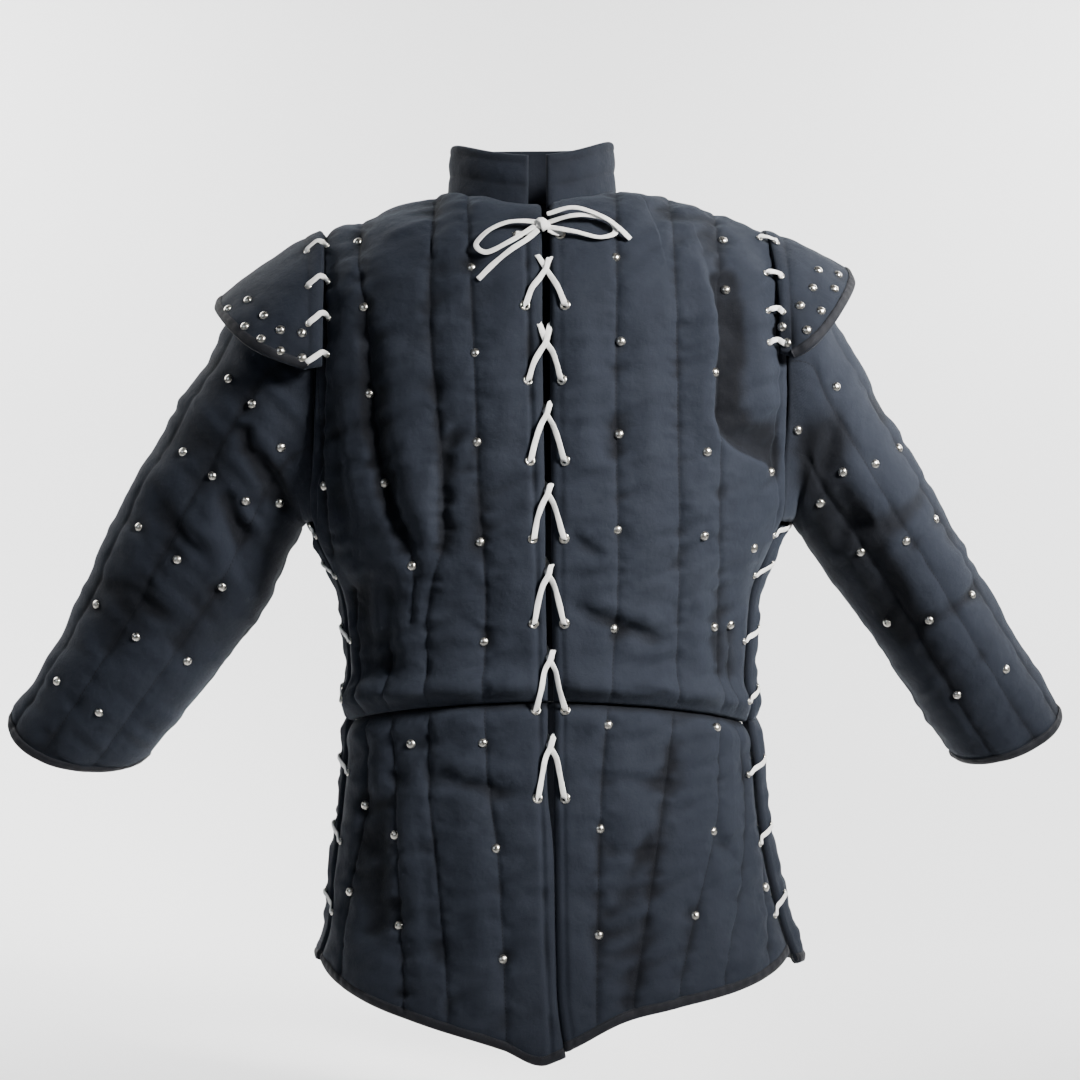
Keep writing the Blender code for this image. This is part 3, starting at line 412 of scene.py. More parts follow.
@dataclass(frozen=True)
class Fold:
    """One fold, ridge (+) or hollow (-), along a line of the front elevation.

    near is its reach on the +X side of a line drawn downwards, far on the other side.
    """

    line: Rows
    depth: float
    near: float
    far: float
    taper: float = 0.25

    def height(self, x: Grid, z: Grid) -> Grid:
        """How far this fold moves the cloth out at places of the front elevation."""
        points = run_through([np.array([a, b]) for a, b in self.line], 0.012)
        best = np.full(x.shape, 9.0)
        signed, along = np.zeros(x.shape), np.zeros(x.shape)
        steps = np.linalg.norm(np.diff(points, axis=0), axis=1)
        total = steps.sum()
        start = 0.0
        for (x0, z0), (x1, z1), length in zip(points[:-1], points[1:], steps):
            dx, dz = (x1 - x0) / length, (z1 - z0) / length
            u = np.clip((x - x0) * dx + (z - z0) * dz, 0, length)
            d = np.hypot(x - x0 - u * dx, z - z0 - u * dz)
            closer = d < best
            best = np.where(closer, d, best)
            signed = np.where(closer, dx * (z - z0) - dz * (x - x0), signed)
            along = np.where(closer, (start + u) / total, along)
            start += length
        reach = np.where(signed > 0, self.near, self.far)
        ends = np.clip(np.minimum(along, 1 - along) / self.taper, 0, 1)
        ends = 0.15 + 0.85 * ends * ends * (3 - 2 * ends)
        return self.depth * bell(best, reach) * ends


def folded(*rows: tuple) -> tuple[Fold, ...]:
    """Folds from rows of a line, a depth and two reaches in millimetres, then any taper."""
    return tuple(Fold(mm(*line), *(size / 1000 for size in sizes[:3]), *sizes[3:]) for line, *sizes in rows)


@dataclass(frozen=True)
class Seamline:
    """A line of quilting stitches, as points of x and z from top to bottom."""

    line: Rows
    open_top: bool = True
    open_foot: bool = True

    def distance(self, x: Grid, z: Grid) -> Spot:
        """Measure from the line.

        Args:
            x: places across.
            z: heights.

        Returns:
            The signed distance across, and how much of the line is there, 0 to 1.
        """
        rows = np.asarray(self.line, float)[::-1]
        xs = smooth(rows[:, 1], rows[:, 0], z)
        slope = np.gradient(rows[:, 0], rows[:, 1])
        lean = np.interp(z, rows[:, 1], slope)
        there = np.ones(z.shape)
        if not self.open_top:
            there = there * step_up(0.012, -0.004, z - rows[-1, 1])
        if not self.open_foot:
            there = there * step_up(-0.012, 0.004, z - rows[0, 1])
        return (x - xs) / np.sqrt(1 + lean * lean), there


@dataclass
class Relief:
    """Everything that lifts or sinks the outside of one padded piece."""

    seams: Sequence[Seamline]
    folds: Sequence[Fold] = ()
    studs: Rows = ()
    puff: float = 0.0046
    puff_reach: float = 0.0084
    lump: float = 0.0028
    lump_size: Triple = (0.05, 0.05, 0.085)
    wrinkle: float = 0.0024
    seed: int = 3

    def height(self, p: Grid, across: Grid, up: Grid, stretch: Grid) -> Spot:
        """Work out the relief of a grid.

        Args:
            p: the points of the grid.
            across: place across, as the seam lines give it.
            up: place up, as the seam lines give it.
            stretch: real distance for each unit across.

        Returns:
            The height, and the stitch data (signed distance, along, plain distance).
        """
        nearest, signed = np.full((2, *across.shape), FAR)
        for seam in self.seams:
            d, there = seam.distance(across, up)
            d = d * stretch
            far = np.abs(d) + (1 - there) * FAR
            closer = far < nearest
            nearest = np.where(closer, far, nearest)
            signed = np.where(closer, d, signed)
        pull = lattice_noise(p, (0.03, 0.03, 0.011), self.seed + 5)
        reach = self.puff_reach * (1 + 0.3 * pull)
        total = self.puff * (0.86 - np.exp(-((nearest / reach) ** 0.85)))
        pucker = lattice_noise(p, (0.012, 0.012, 0.0062), self.seed + 7)
        total += 0.0013 * pucker * bell(nearest - 0.004, 0.011)
        for x, z in self.studs:
            far = np.hypot((across - x) * stretch, up - z)
            total -= 0.0016 * bell(far, 0.0085)
        for fold in self.folds:
            total += fold.height(across, up)
        total += self.lump * lattice_noise(p, self.lump_size, self.seed)
        total += 0.5 * self.lump * lattice_noise(p, (0.022, 0.022, 0.034), self.seed + 1)
        tilt = np.stack([p[..., 0] + 0.4 * p[..., 2], p[..., 1], p[..., 2] - 0.4 * p[..., 0]], -1)
        total += self.wrinkle * lattice_noise(tilt, (0.03, 0.03, 0.011), self.seed + 2)
        return total, np.stack([signed, up, nearest], -1)


# ---- shader nodes
def _operator(operation: str, reflected: bool = False) -> Callable[["Wire", object], "Wire"]:
    """Make one operator of a wire.

    Args:
        operation: the Math node's operation.
        reflected: whether the wire is the second of the two.

    Returns:
        The operator, to be set in the class.
    """

    def method(wire: "Wire", other: object) -> "Wire":
        """The wire and the other value through one Math node."""
        return wire.join(operation, other, wire) if reflected else wire.join(operation, wire, other)

    return method


class Wire:
    """An output socket that takes part in sums of plain numbers."""

    def __init__(self, book: "Book", socket: bpy.types.NodeSocket) -> None:
        """Wrap one output socket of a material's nodes."""
        self.book = book
        self.socket = socket

    def join(self, operation: str, first: object, second: object) -> "Wire":
        """One Math node on two values."""
        return self.book.add("ShaderNodeMath", {"operation": operation}, {0: first, 1: second})

    __add__ = _operator("ADD")
    __radd__ = _operator("ADD", reflected=True)
    __sub__ = _operator("SUBTRACT")
    __rsub__ = _operator("SUBTRACT", reflected=True)
    __mul__ = _operator("MULTIPLY")
    __rmul__ = _operator("MULTIPLY", reflected=True)
    __truediv__ = _operator("DIVIDE")
    __lt__ = _operator("LESS_THAN")

    def __abs__(self) -> "Wire":
        """This without its sign."""
        return self.join("ABSOLUTE", self, 0.0)

    def wave(self) -> "Wire":
        """The sine of this."""
        return self.join("SINE", self, 0.0)

    def part(self) -> "Wire":
        """The part of this after the point."""
        return self.join("FRACT", self, 0.0)


class Book:
    """The nodes of one material, with its main shader and output."""

    def __init__(self, name: str) -> None:
        """Start an empty material."""
        self.material = bpy.data.materials.new(name)
        self.material.use_nodes = True
        self.tree = self.material.node_tree
        self.tree.nodes.clear()
        self.shader = self.tree.nodes.new("ShaderNodeBsdfPrincipled")
        output = self.tree.nodes.new("ShaderNodeOutputMaterial")
        self.tree.links.new(self.shader.outputs[0], output.inputs["Surface"])

    def put(self, node: bpy.types.Node, key: object, value: object) -> None:
        """Set a node's socket to a value or link it."""
        if isinstance(value, Wire):
            self.tree.links.new(value.socket, node.inputs[key])
        else:
            node.inputs[key].default_value = value

    def add(self, kind: str, settings: dict | None = None, sockets: dict | None = None,
            output: object = 0) -> Wire:
        """Add any node.

        Args:
            kind: the node's type.
            settings: its settings, set first; "stops" are a ramp's places and colours.
            sockets: values or links of its inputs.
            output: which output is wanted.

        Returns:
            That output.
        """
        node = self.tree.nodes.new(kind)
        for key, value in (settings or {}).items():
            if key == "stops":
                ramp = node.color_ramp
                while len(ramp.elements) < len(value):
                    ramp.elements.new(0.5)
                for element, (place, colour) in zip(ramp.elements, value):
                    element.position, element.color = place, colour
            else:
                setattr(node, key, value)
        for key, value in (sockets or {}).items():
            self.put(node, key, value)
        return Wire(self, node.outputs[output])

    def place(self) -> Wire:
        """The place on the object, in metres."""
        return self.add("ShaderNodeTexCoord", output="Object")

    def cloth_axes(self) -> list[Wire]:
        """Both places on the cloth, in metres along and across."""
        uv = self.add("ShaderNodeUVMap", {"uv_map": "cloth"})
        return [self.add("ShaderNodeSeparateXYZ", {}, {0: uv}, axis) for axis in "XY"]

    def noise(self, scale: float, detail: float = 2.0, rough: float = 0.5) -> Wire:
        """Plain noise at a scale of lumps to the metre."""
        return self.add("ShaderNodeTexNoise", {}, {
            "Vector": self.place(), "Scale": scale, "Detail": detail, "Roughness": rough})

    def blend(self, factor: object, first: object, second: object) -> Wire:
        """A mix of two colours."""
        return self.add("ShaderNodeMix", {"data_type": "RGBA"}, {0: factor, 6: first, 7: second}, 2)

    def spread(self, value: Wire, low: float, high: float) -> Wire:
        """Soft 0 to 1 between two values."""
        return self.add("ShaderNodeMapRange", {"interpolation_type": "SMOOTHSTEP"}, {
            "Value": value, "From Min": low, "From Max": high, "To Min": 0.0, "To Max": 1.0})

    def bump(self, height: Wire, distance: float, strength: float = 1.0,
             over: Wire | None = None) -> Wire:
        """A Bump node, over another one if given."""
        sockets = {"Height": height, "Distance": distance, "Strength": strength}
        if over is not None:
            sockets["Normal"] = over
        return self.add("ShaderNodeBump", {}, sockets, "Normal")

    def finish(self, values: dict) -> Cover:
        """Set the main shader's sockets and hand the material over."""
        for key, value in values.items():
            self.put(self.shader, key, value)
        return self.material


@dataclass(frozen=True)
class CanvasFinish:
    """Dyed canvas over batting, with its weave, fine lint and stitched lines, and painted shade where its
    relief sinks.
    """

    name: str = "black_canvas"
    colour: Colour = (0.011, 0.014, 0.0215, 1.0)
    # deep: near-black tone used as painted shade in the cloth's low places; it also darkens the weave's gaps
    deep: Colour = (0.0018, 0.0023, 0.0042, 1.0)
    worn: Colour = (0.0185, 0.022, 0.0305, 1.0)
    thread: Colour = (0.005, 0.0056, 0.0085, 1.0)
    pitch: float = 0.0009
    stitch: float = 0.004

    def make(self) -> Cover:
        """Build the material."""
        book = Book(self.name)
        u, v = (axis * (math.pi / self.pitch) for axis in book.cloth_axes())
        over = u.wave() * v.wave() * 0.5 + 0.5
        weave = abs(u.wave()) * over + abs(v.wave()) * (1.0 - over)
        slub = book.noise(900.0, 2.0, 0.6)
        lump = book.noise(95.0, 3.0, 0.55)
        cloud = book.noise(14.0, 3.0, 0.6)
        data = book.add("ShaderNodeAttribute", {"attribute_name": "stitch"}, {}, "Vector")
        signed, along, plain = (book.add("ShaderNodeSeparateXYZ", {}, {0: data}, axis) for axis in "XYZ")
        dash = (along / self.stitch).part() < 0.74
        line = (abs(signed) < 0.00048) * (plain < 0.003)
        thread = line * dash
        # painted shade: where the relief height is low (seam hollows, folds, recesses) the colour goes to the
        # dark deep tone
        raised = book.spread(book.add("ShaderNodeAttribute", {"attribute_name": "raised"}, {}, "Fac"),
                             -0.003, 0.0022)
        base = book.blend(raised, self.deep, self.colour)
        base = book.blend(book.spread(cloud, 0.42, 0.72) * 0.3, base, self.worn)
        base = book.blend(book.spread(slub, 0.6, 0.78) * 0.35, base, self.worn)
        base = book.blend(book.spread(weave, 0.1, 0.55), book.blend(0.45, base, self.deep), base)
        base = book.blend(thread, base, self.thread)
        coarse = book.bump(lump, 0.003, 0.35)
        fine = book.bump(weave * 0.7 + slub * 0.6 + thread * 1.4 - line * 0.9, 0.0004, 0.75, coarse)
        return book.finish({
            "Base Color": base,
            "Roughness": 0.74 + 0.16 * book.spread(slub, 0.3, 0.7),
            "Normal": fine,
            "Sheen Weight": 0.06,
            "Sheen Roughness": 0.45,
            "Sheen Tint": (0.7, 0.82, 1.0, 1.0),
            "Specular IOR Level": 0.15,
        })


@dataclass(frozen=True)
class TapeFinish:
    """Folded black tape round the edges, with its ribs and one row of stitches."""

    name: str = "black_tape"
    colour: Colour = (0.006, 0.0064, 0.009, 1.0)
    light: Colour = (0.011, 0.012, 0.016, 1.0)
    rib: float = 0.0012

    def make(self) -> Cover:
        """Build the material."""
        book = Book(self.name)
        u, v = book.cloth_axes()
        ribs = abs((u * (math.pi / self.rib)).wave())
        cross = abs((v * (math.pi / 0.0008)).wave())
        grain = book.noise(700.0, 2.0, 0.6)
        base = book.blend(book.spread(grain, 0.35, 0.75), self.colour, self.light)
        stitched = (abs(v - 0.0018) < 0.0004) * ((u / 0.0036).part() < 0.7)
        base = book.blend(stitched * 0.5, base, self.light)
        normal = book.bump(ribs * 0.7 + cross * 0.3 + grain * 0.5 + stitched, 0.0003, 0.7)
        return book.finish({
            "Base Color": base,
            "Roughness": 0.66 + 0.18 * book.spread(grain, 0.3, 0.7),
            "Normal": normal,
            "Sheen Weight": 0.05,
            "Sheen Roughness": 0.4,
            "Specular IOR Level": 0.2,
        })


@dataclass(frozen=True)
class LaceFinish:
    """Flat woven white cotton lace, a little grey where it is handled."""

    name: str = "white_lace"
    colour: Colour = (0.78, 0.775, 0.755, 1.0)
    soiled: Colour = (0.46, 0.455, 0.44, 1.0)
    shade: Colour = (0.58, 0.575, 0.56, 1.0)
    pitch: float = 0.0016

    def make(self) -> Cover:
        """Build the material."""
        book = Book(self.name)
        u, v = book.cloth_axes()
        slant = (u + abs(v - 0.0025) * 1.1) * (math.pi / self.pitch)
        plait = abs(slant.wave())
        length = abs((v * (math.pi / 0.0011)).wave())
        fluff = book.noise(1300.0, 2.0, 0.6)
        cloud = book.noise(60.0, 3.0, 0.6)
        base = book.blend(book.spread(plait, 0.0, 0.5), self.shade, self.colour)
        base = book.blend(book.spread(cloud, 0.5, 0.8) * 0.55, base, self.soiled)
        normal = book.bump(plait * 0.8 + length * 0.35 + fluff * 0.4, 0.0004, 0.8)
        return book.finish({
            "Base Color": base,
            "Roughness": 0.78 + 0.14 * book.spread(fluff, 0.3, 0.7),
            "Normal": normal,
            "Sheen Weight": 0.25,
            "Sheen Roughness": 0.5,
            "Specular IOR Level": 0.3,
        })


@dataclass(frozen=True)
class NickelFinish:
    """Polished nickel, finely scratched and a little dulled."""

    name: str = "polished_nickel"
    colour: Colour = (0.6, 0.575, 0.52, 1.0)
    dull: Colour = (0.33, 0.31, 0.28, 1.0)

    def make(self) -> Cover:
        """Build the material."""
        book = Book(self.name)
        spots = book.noise(420.0, 3.0, 0.6)
        fine = book.noise(2600.0, 2.0, 0.6)
        base = book.blend(book.spread(spots, 0.52, 0.76) * 0.7, self.colour, self.dull)
        return book.finish({
            "Base Color": base,
            "Metallic": 1.0,
            "Roughness": 0.22 + 0.25 * book.spread(spots, 0.42, 0.72),
            "Normal": book.bump(fine, 0.00006, 0.5),
        })


@dataclass(frozen=True)
class PlainFinish:
    """A matt even finish, for the painted shade inside an eyelet and for the stage."""

    name: str
    colour: Colour
    rough: float = 0.9

    def make(self) -> Cover:
        """Build the material."""
        book = Book(self.name)
        cloud = book.noise(3.0, 2.0, 0.5)
        dim = tuple(c * 0.97 for c in self.colour[:3]) + (1.0,)
        return book.finish({"Base Color": book.blend(cloud, dim, self.colour), "Roughness": self.rough})


@dataclass
class Finishes:
    """All the coat's materials, made once."""

    cloth: Cover
    tape: Cover
    lace: Cover
    metal: Cover
    # hollow: near-black painted shade for the eyelets' holes
    hollow: Cover

    @classmethod
    def make(cls) -> "Finishes":
        """Build every material of the coat."""
        # the near-black finish for the eyelets' holes is painted shade
        return cls(CanvasFinish().make(), TapeFinish().make(), LaceFinish().make(),
                   NickelFinish().make(), PlainFinish("eyelet_hollow", (0.006, 0.006, 0.008, 1.0)).make())


# ---- meshes
@dataclass
class MeshParts:
    """Points, faces and corner data gathered for one object."""

    points: list[Grid] = field(default_factory=list)
    faces: list[Grid] = field(default_factory=list)
    uvs: list[Grid] = field(default_factory=list)
    stitch: list[Grid] = field(default_factory=list)
    raised: list[Grid] = field(default_factory=list)
    count: int = 0

    def add(self, points: Grid, faces: Sequence[Grid], uv: Grid, stitch: Grid | None = None,
            raised: Grid | None = None) -> None:
        """Add a patch.

        Args:
            points: its points.
            faces: arrays of faces of three or four points.
            uv: a place on the cloth in metres for each point.
            stitch: the stitch data of each point.
            raised: the relief's height at each point.
        """
        self.points.append(points)
        self.faces += [f + self.count for f in faces if len(f)]
        self.uvs.append(uv)
        self.stitch.append(np.full((len(points), 3), FAR) if stitch is None else stitch)
        self.raised.append(np.zeros(len(points)) if raised is None else raised)
        self.count += len(points)

    def build(self, name: str, material: Cover) -> Piece:
        """Make the object, its faces turned outwards."""
        points = np.concatenate(self.points)
        volume = 0.0
        for f in self.faces:
            a = points[f[:, 0]]
            for k in range(1, f.shape[1] - 1):
                volume += np.einsum("ij,ij->", a, np.cross(points[f[:, k]], points[f[:, k + 1]]))
        faces = [f[:, ::-1] if volume < 0 else f for f in self.faces]
        mesh = bpy.data.meshes.new(name)
        sizes = np.concatenate([np.full(len(f), f.shape[1]) for f in faces])
        loops = np.concatenate([f.reshape(-1) for f in faces]).astype(np.int32)
        mesh.vertices.add(len(points))
        mesh.loops.add(len(loops))
        mesh.polygons.add(len(sizes))
        starts = np.concatenate([[0], np.cumsum(sizes)[:-1]]).astype(np.int32)
        mesh.loops.foreach_set("vertex_index", loops)
        mesh.polygons.foreach_set("loop_start", starts)
        mesh.polygons.foreach_set("loop_total", sizes.astype(np.int32))
        mesh.polygons.foreach_set("use_smooth", np.ones(len(sizes), bool))
        mesh.vertices.foreach_set("co", points.astype(np.float32).reshape(-1))
        layer = mesh.uv_layers.new(name="cloth")
        layer.data.foreach_set("uv", np.concatenate(self.uvs)[loops].astype(np.float32).reshape(-1))
        stitch = mesh.attributes.new("stitch", "FLOAT_VECTOR", "POINT")
        stitch.data.foreach_set("vector", np.concatenate(self.stitch).astype(np.float32).reshape(-1))
        raised = mesh.attributes.new("raised", "FLOAT", "POINT")
        raised.data.foreach_set("value", np.concatenate(self.raised).astype(np.float32))
        mesh.update()
        mesh.validate()
        mesh.materials.append(material)
        made = bpy.data.objects.new(name, mesh)
        bpy.context.scene.collection.objects.link(made)
        return made


def sewn(node: str) -> str:
    """The name of the sewn piece that stands for a node of the part."""
    return "sewn_" + node


def upper_rows(low: Grid, high: Grid) -> Grid:
    """Rows of an upper panel, below and above the chest, an odd number of them."""
    v = np.concatenate([low[:-4], [1.0], 1 + high[4:]])
    return v if len(v) % 2 else np.delete(v, len(v) // 2)


def edge_rows(length: float, count: int,
              fine: Sequence[float] = (0.0, 0.0006, 0.0014, 0.0025, 0.004)) -> Grid:
    """Shares of a length with close rows at both ends.

    Args:
        length: the real length.
        count: how many even steps lie between the ends; made even.
        fine: distances of the close rows from an end.

    Returns:
        Rising shares from 0 to 1, an odd number of them.
    """
    ends = np.asarray(fine) / length
    middle = np.linspace(ends[-1], 1 - ends[-1], count + count % 2 + 1)
    return np.concatenate([ends[:-1], middle, 1 - ends[:-1][::-1]])


def tube_normals(p: Grid) -> Grid:
    """Unit normals of a grid of points whose first axis closes on itself, all on one side."""
    return unit(np.cross(np.roll(p, -1, axis=0) - np.roll(p, 1, axis=0), np.gradient(p, axis=1)))


@dataclass
class ClothSheet:
    """One padded piece: its grid, its relief and its closed wall of cloth."""

    name: str
    base: Grid
    normal: Grid
    ring: bool = False
    wall: float = 0.008
    rounding: float = 0.0034
    rounded: tuple[bool, bool, bool, bool] = (True, True, True, True)
    outer: Grid = field(init=False)
    inner: Grid = field(init=False)

    def along(self) -> tuple[Grid, Grid, Grid, Grid]:
        """Real distances of every point from the four edges: start and end of each axis."""
        du, dv = measure(np.diff(self.base, axis=0)), measure(np.diff(self.base, axis=1))
        u = np.concatenate([np.zeros((1, du.shape[1])), np.cumsum(du, axis=0)])
        v = np.concatenate([np.zeros((dv.shape[0], 1)), np.cumsum(dv, axis=1)], axis=1)
        return u, u[-1:] - u, v, v[:, -1:] - v

    def fade(self, reach: float) -> Grid:
        """0 on the edges, 1 further in than the reach."""
        return step_up(0.0, 1.0, np.minimum.reduce(self.along()[2 if self.ring else 0:]) / reach)

    def area(self) -> float:
        """Area of the plain surface."""
        p = np.concatenate([self.base, self.base[:1]]) if self.ring else self.base
        a, b = p[1:, :-1] - p[:-1, :-1], p[:-1, 1:] - p[:-1, :-1]
        return float(measure(np.cross(a, b)).sum())

    def build(self, height: Grid, stitch: Grid, material: Cover,
              lining: Grid | None = None) -> Piece:
        """Raise the relief, round the edges and close the wall.

        Args:
            height: how far each point moves out.
            stitch: the stitch data of each point.
            material: the cloth.
            lining: how far each point of the inside moves out.

        Returns:
            The object.
        """
        drop = np.zeros(height.shape)
        for i, distance in enumerate(self.along()):
            if self.rounded[i] and not (self.ring and i < 2):
                r = self.rounding
                t = np.clip(1 - distance / r, 0, 1)
                drop = np.maximum(drop, r - np.sqrt(np.maximum(r * r - (t * r) ** 2, 0)))
        inside = -self.wall + drop + (0 if lining is None else lining)
        self.outer = self.base + self.normal * (height - drop)[..., None]
        self.inner = self.base + self.normal * inside[..., None]
        nu, nv = height.shape
        half_u = nu // 2 if self.ring else (nu + 1) // 2
        half_v = (nv + 1) // 2
        thin = self.inner[::2, ::2]
        u, _, v, _ = self.along()
        uv = np.stack([u.mean(axis=1, keepdims=True) + np.zeros_like(u),
                       v.mean(axis=0, keepdims=True) + np.zeros_like(v)], -1)
        iu, iv = np.arange(nu if self.ring else nu - 1), np.arange(nv - 1)

        def outside(i: Grid, j: Grid) -> Grid:
            """Point numbers of the outside."""
            return (i % nu) * nv + j

        def within(i: Grid, j: Grid) -> Grid:
            """Point numbers of the inside, which has every second point."""
            return nu * nv + ((i // 2) % half_u) * half_v + j // 2

        top = quads(iu, iv, outside)
        low = quads(iu[::2], iv[::2], within, 2)[:, [0, 3, 2, 1]]
        tris = []

        def strip(out: Grid, ins: Grid, turned: bool) -> None:
            """Close one edge between the two sides of the wall."""
            a, b, c = out[:-2:2], out[1::2], out[2::2]
            p, q = ins[:-1], ins[1:]
            for three in ((b, a, p), (c, b, q), (b, p, q)):
                f = np.stack(three, -1)
                tris.append(f[:, ::-1] if turned else f)

        us = np.arange(nu + 1 if self.ring else nu)
        vs = np.arange(nv)
        strip(outside(us, 0), within(us[::2], 0), False)
        strip(outside(us, nv - 1), within(us[::2], nv - 1), True)
        if not self.ring:
            strip(outside(0, vs), within(0, vs[::2]), True)
            strip(outside(nu - 1, vs), within(nu - 1, vs[::2]), False)
        parts = MeshParts()
        points = np.concatenate([self.outer.reshape(-1, 3), thin.reshape(-1, 3)])
        flat = np.full((half_u * half_v, 3), FAR)
        parts.add(points, [top, low, *tris], np.concatenate([uv.reshape(-1, 2), uv[::2, ::2].reshape(-1, 2)]),
                  np.concatenate([stitch.reshape(-1, 3), flat]),
                  np.concatenate([height.reshape(-1), np.zeros(len(flat))]))
        return parts.build(sewn(self.name), material)


def tape_round(name: str, rim_out: Grid, rim_in: Grid, beyond: Grid, material: Cover,
               ring: bool, width: float = 0.0068, thick: float = 0.0008) -> Piece:
    """Fold a tape round a cloth's edge.

    Args:
        name: the piece's name.
        rim_out: points of the edge on the outside of the cloth.
        rim_in: the same on the inside.
        beyond: unit directions out past the edge.
        material: the tape's finish.
        ring: whether the edge closes on itself.
        width: how far the tape comes over each face.
        thick: the tape's thickness.

    Returns:
        The object.
    """
    across = unit(rim_out - rim_in)
    middle = (rim_out + rim_in) / 2
    half = measure(rim_out - rim_in) / 2
    length = run_length(middle)
    ripple = 0.00028 * np.sin(length * 2 * math.pi / 0.0115 + 1.3 * np.sin(length * 41))
    profile = []
    for t in np.linspace(0, 1, 5):
        profile.append((1.0, -width * (1 - t), 0.0))
    for angle in np.linspace(0, math.pi, 9)[1:-1]:
        profile.append((math.cos(angle), 0.0, math.sin(angle)))
    for t in np.linspace(0, 1, 5):
        profile.append((-1.0, -width * t, 0.0))
    rings, ways = [], []
    for k, (side, back, swing) in enumerate(profile):
        rise = 0.0003 + (0.0004 * math.sin(min(1, abs(back) / width * 1.3) * math.pi) if swing == 0 else 0)
        reach = (half + rise)[:, None]
        centre = middle + beyond * (back - 0.0016 * (swing > 0))
        out = middle + across * side * reach + beyond * (back + swing * reach * 0.62)
        wobble = ripple[:, None] * across * side * (1.0 if 0.1 < abs(back) / width < 0.9 else 0.4)
        rings.append(out + wobble)
        ways.append(unit(out - centre) if swing > 0 else across * side)
    rings, ways = np.array(rings), np.array(ways)
    loop = np.concatenate([rings + ways * thick, rings[::-1]])
    loop[0] -= ways[0] * thick * 0.6
    loop[len(rings) - 1] -= ways[-1] * thick * 0.6
    around = run_length(loop[:, 0])
    m, n = loop.shape[:2]
    patches = [quads(np.arange(m), np.arange(n if ring else n - 1), lambda i, j: (i % m) * n + j % n)]
    if not ring:
        k = len(rings)
        for place, turned in ((0, True), (n - 1, False)):
            a = np.arange(k - 1)
            cap = np.stack([a * n + place, (a + 1) * n + place, (m - 2 - a) * n + place,
                            (m - 1 - a) * n + place], -1)
            patches.append(cap if turned else cap[:, ::-1])
    parts = MeshParts()
    uv = np.stack(np.broadcast_arrays(length[None, :], around[:, None]), -1).reshape(-1, 2)
    parts.add(loop.reshape(-1, 3), patches, uv)
    return parts.build(sewn(name), material)


def settle_frames(path: Grid, hints: Grid) -> tuple[Grid, Grid, Grid]:
    """Frames for a flat lace.

    Args:
        path: its middle line.
        hints: the direction its flat face would turn to at each point.

    Returns:
        Tangents, face normals and widthwise directions.
    """
    tangent = unit(np.gradient(path, axis=0))
    face = np.zeros_like(path)
    last = hints[0]
    for i, (t, h) in enumerate(zip(tangent, hints)):
        across = h - t * np.dot(h, t)
        size = np.linalg.norm(across)
        kept = last - t * np.dot(last, t)
        kept /= max(np.linalg.norm(kept), 1e-9)
        share = step_up(0.25, 0.75, np.array(size))
        last = across / max(size, 1e-9) * share + kept * (1 - share)
        last /= max(np.linalg.norm(last), 1e-9)
        face[i] = last
    for _ in range(3):
        face[1:-1] = face[:-2] + face[1:-1] * 2 + face[2:]
        face = unit(face - tangent * np.sum(face * tangent, axis=-1, keepdims=True))
    return tangent, face, np.cross(tangent, face)


def ribbon(parts: MeshParts, path: Grid, hints: Grid, width: float, thick: float) -> None:
    """Add a flat lace along a path.

    Args:
        parts: where it is gathered.
        path: its middle line.
        hints: directions that its flat face turns to.
        width: its width.
        thick: its thickness.
    """
    tangent, face, wide = settle_frames(path, hints)
    turn = 2 * math.pi * np.arange(12) / 12
    a = np.sign(np.cos(turn)) * np.abs(np.cos(turn)) ** 0.55 * width / 2
    b = np.sign(np.sin(turn)) * np.abs(np.sin(turn)) ** 0.8 * thick / 2
    length = run_length(path)
    swell = 1 + 0.05 * np.sin(length * 240) + 0.03 * np.sin(length * 91 + 1)
    rings = (path[:, None] + wide[:, None] * (a[None, :] * swell[:, None])[..., None]
             + face[:, None] * b[None, :, None])
    n, m = rings.shape[:2]
    faces = [quads(np.arange(n - 1), np.arange(m), lambda i, j: i * m + j % m)]
    points = rings.reshape(-1, 3)
    uv = np.stack(np.broadcast_arrays(length[:, None], (a + width / 2)[None, :]), -1).reshape(-1, 2)
    tips = np.stack([path[0] - tangent[0] * thick * 0.35, path[-1] + tangent[-1] * thick * 0.35])
    points = np.concatenate([points, tips])
    uv = np.concatenate([uv, [[0, width / 2], [length[-1], width / 2]]])
    k = np.arange(m)
    faces.append(np.stack([(k + 1) % m, k, np.full(m, n * m)], -1)[:, ::-1])
    faces.append(np.stack([(n - 1) * m + k, (n - 1) * m + (k + 1) % m, np.full(m, n * m + 1)], -1)[:, ::-1])
    parts.add(points, faces, uv)


def turned(parts: MeshParts, centre: Grid, axis: Grid, profile: Rows, sides: int,
           tilt: float = 0.0) -> None:
    """Add a turned piece.

    Args:
        parts: where it is gathered.
        centre: its foot.
        axis: its unit direction.
        profile: radius and height, from the middle of the foot over the outside to the middle on top.
        sides: how many sides it has round it.
        tilt: a turn about its axis.
    """
    a = unit(np.cross(axis, [0.31, 0.11, 0.94]))
    b = np.cross(axis, a)
    angle = 2 * math.pi * np.arange(sides) / sides + tilt
    radii, heights = np.array([p[0] for p in profile]), np.array([p[1] for p in profile])
    ring = np.cos(angle)[None, :, None] * a + np.sin(angle)[None, :, None] * b
    points = centre + ring * radii[:, None, None] + axis * heights[:, None, None]
    faces = quads(np.arange(len(profile) - 1), np.arange(sides), lambda i, j: i * sides + j % sides)
    uv = np.stack(np.broadcast_arrays(angle[None, :] * 0.01, heights[:, None]), -1).reshape(-1, 2)
    parts.add(points.reshape(-1, 3), [faces[:, [0, 3, 2, 1]]], uv)


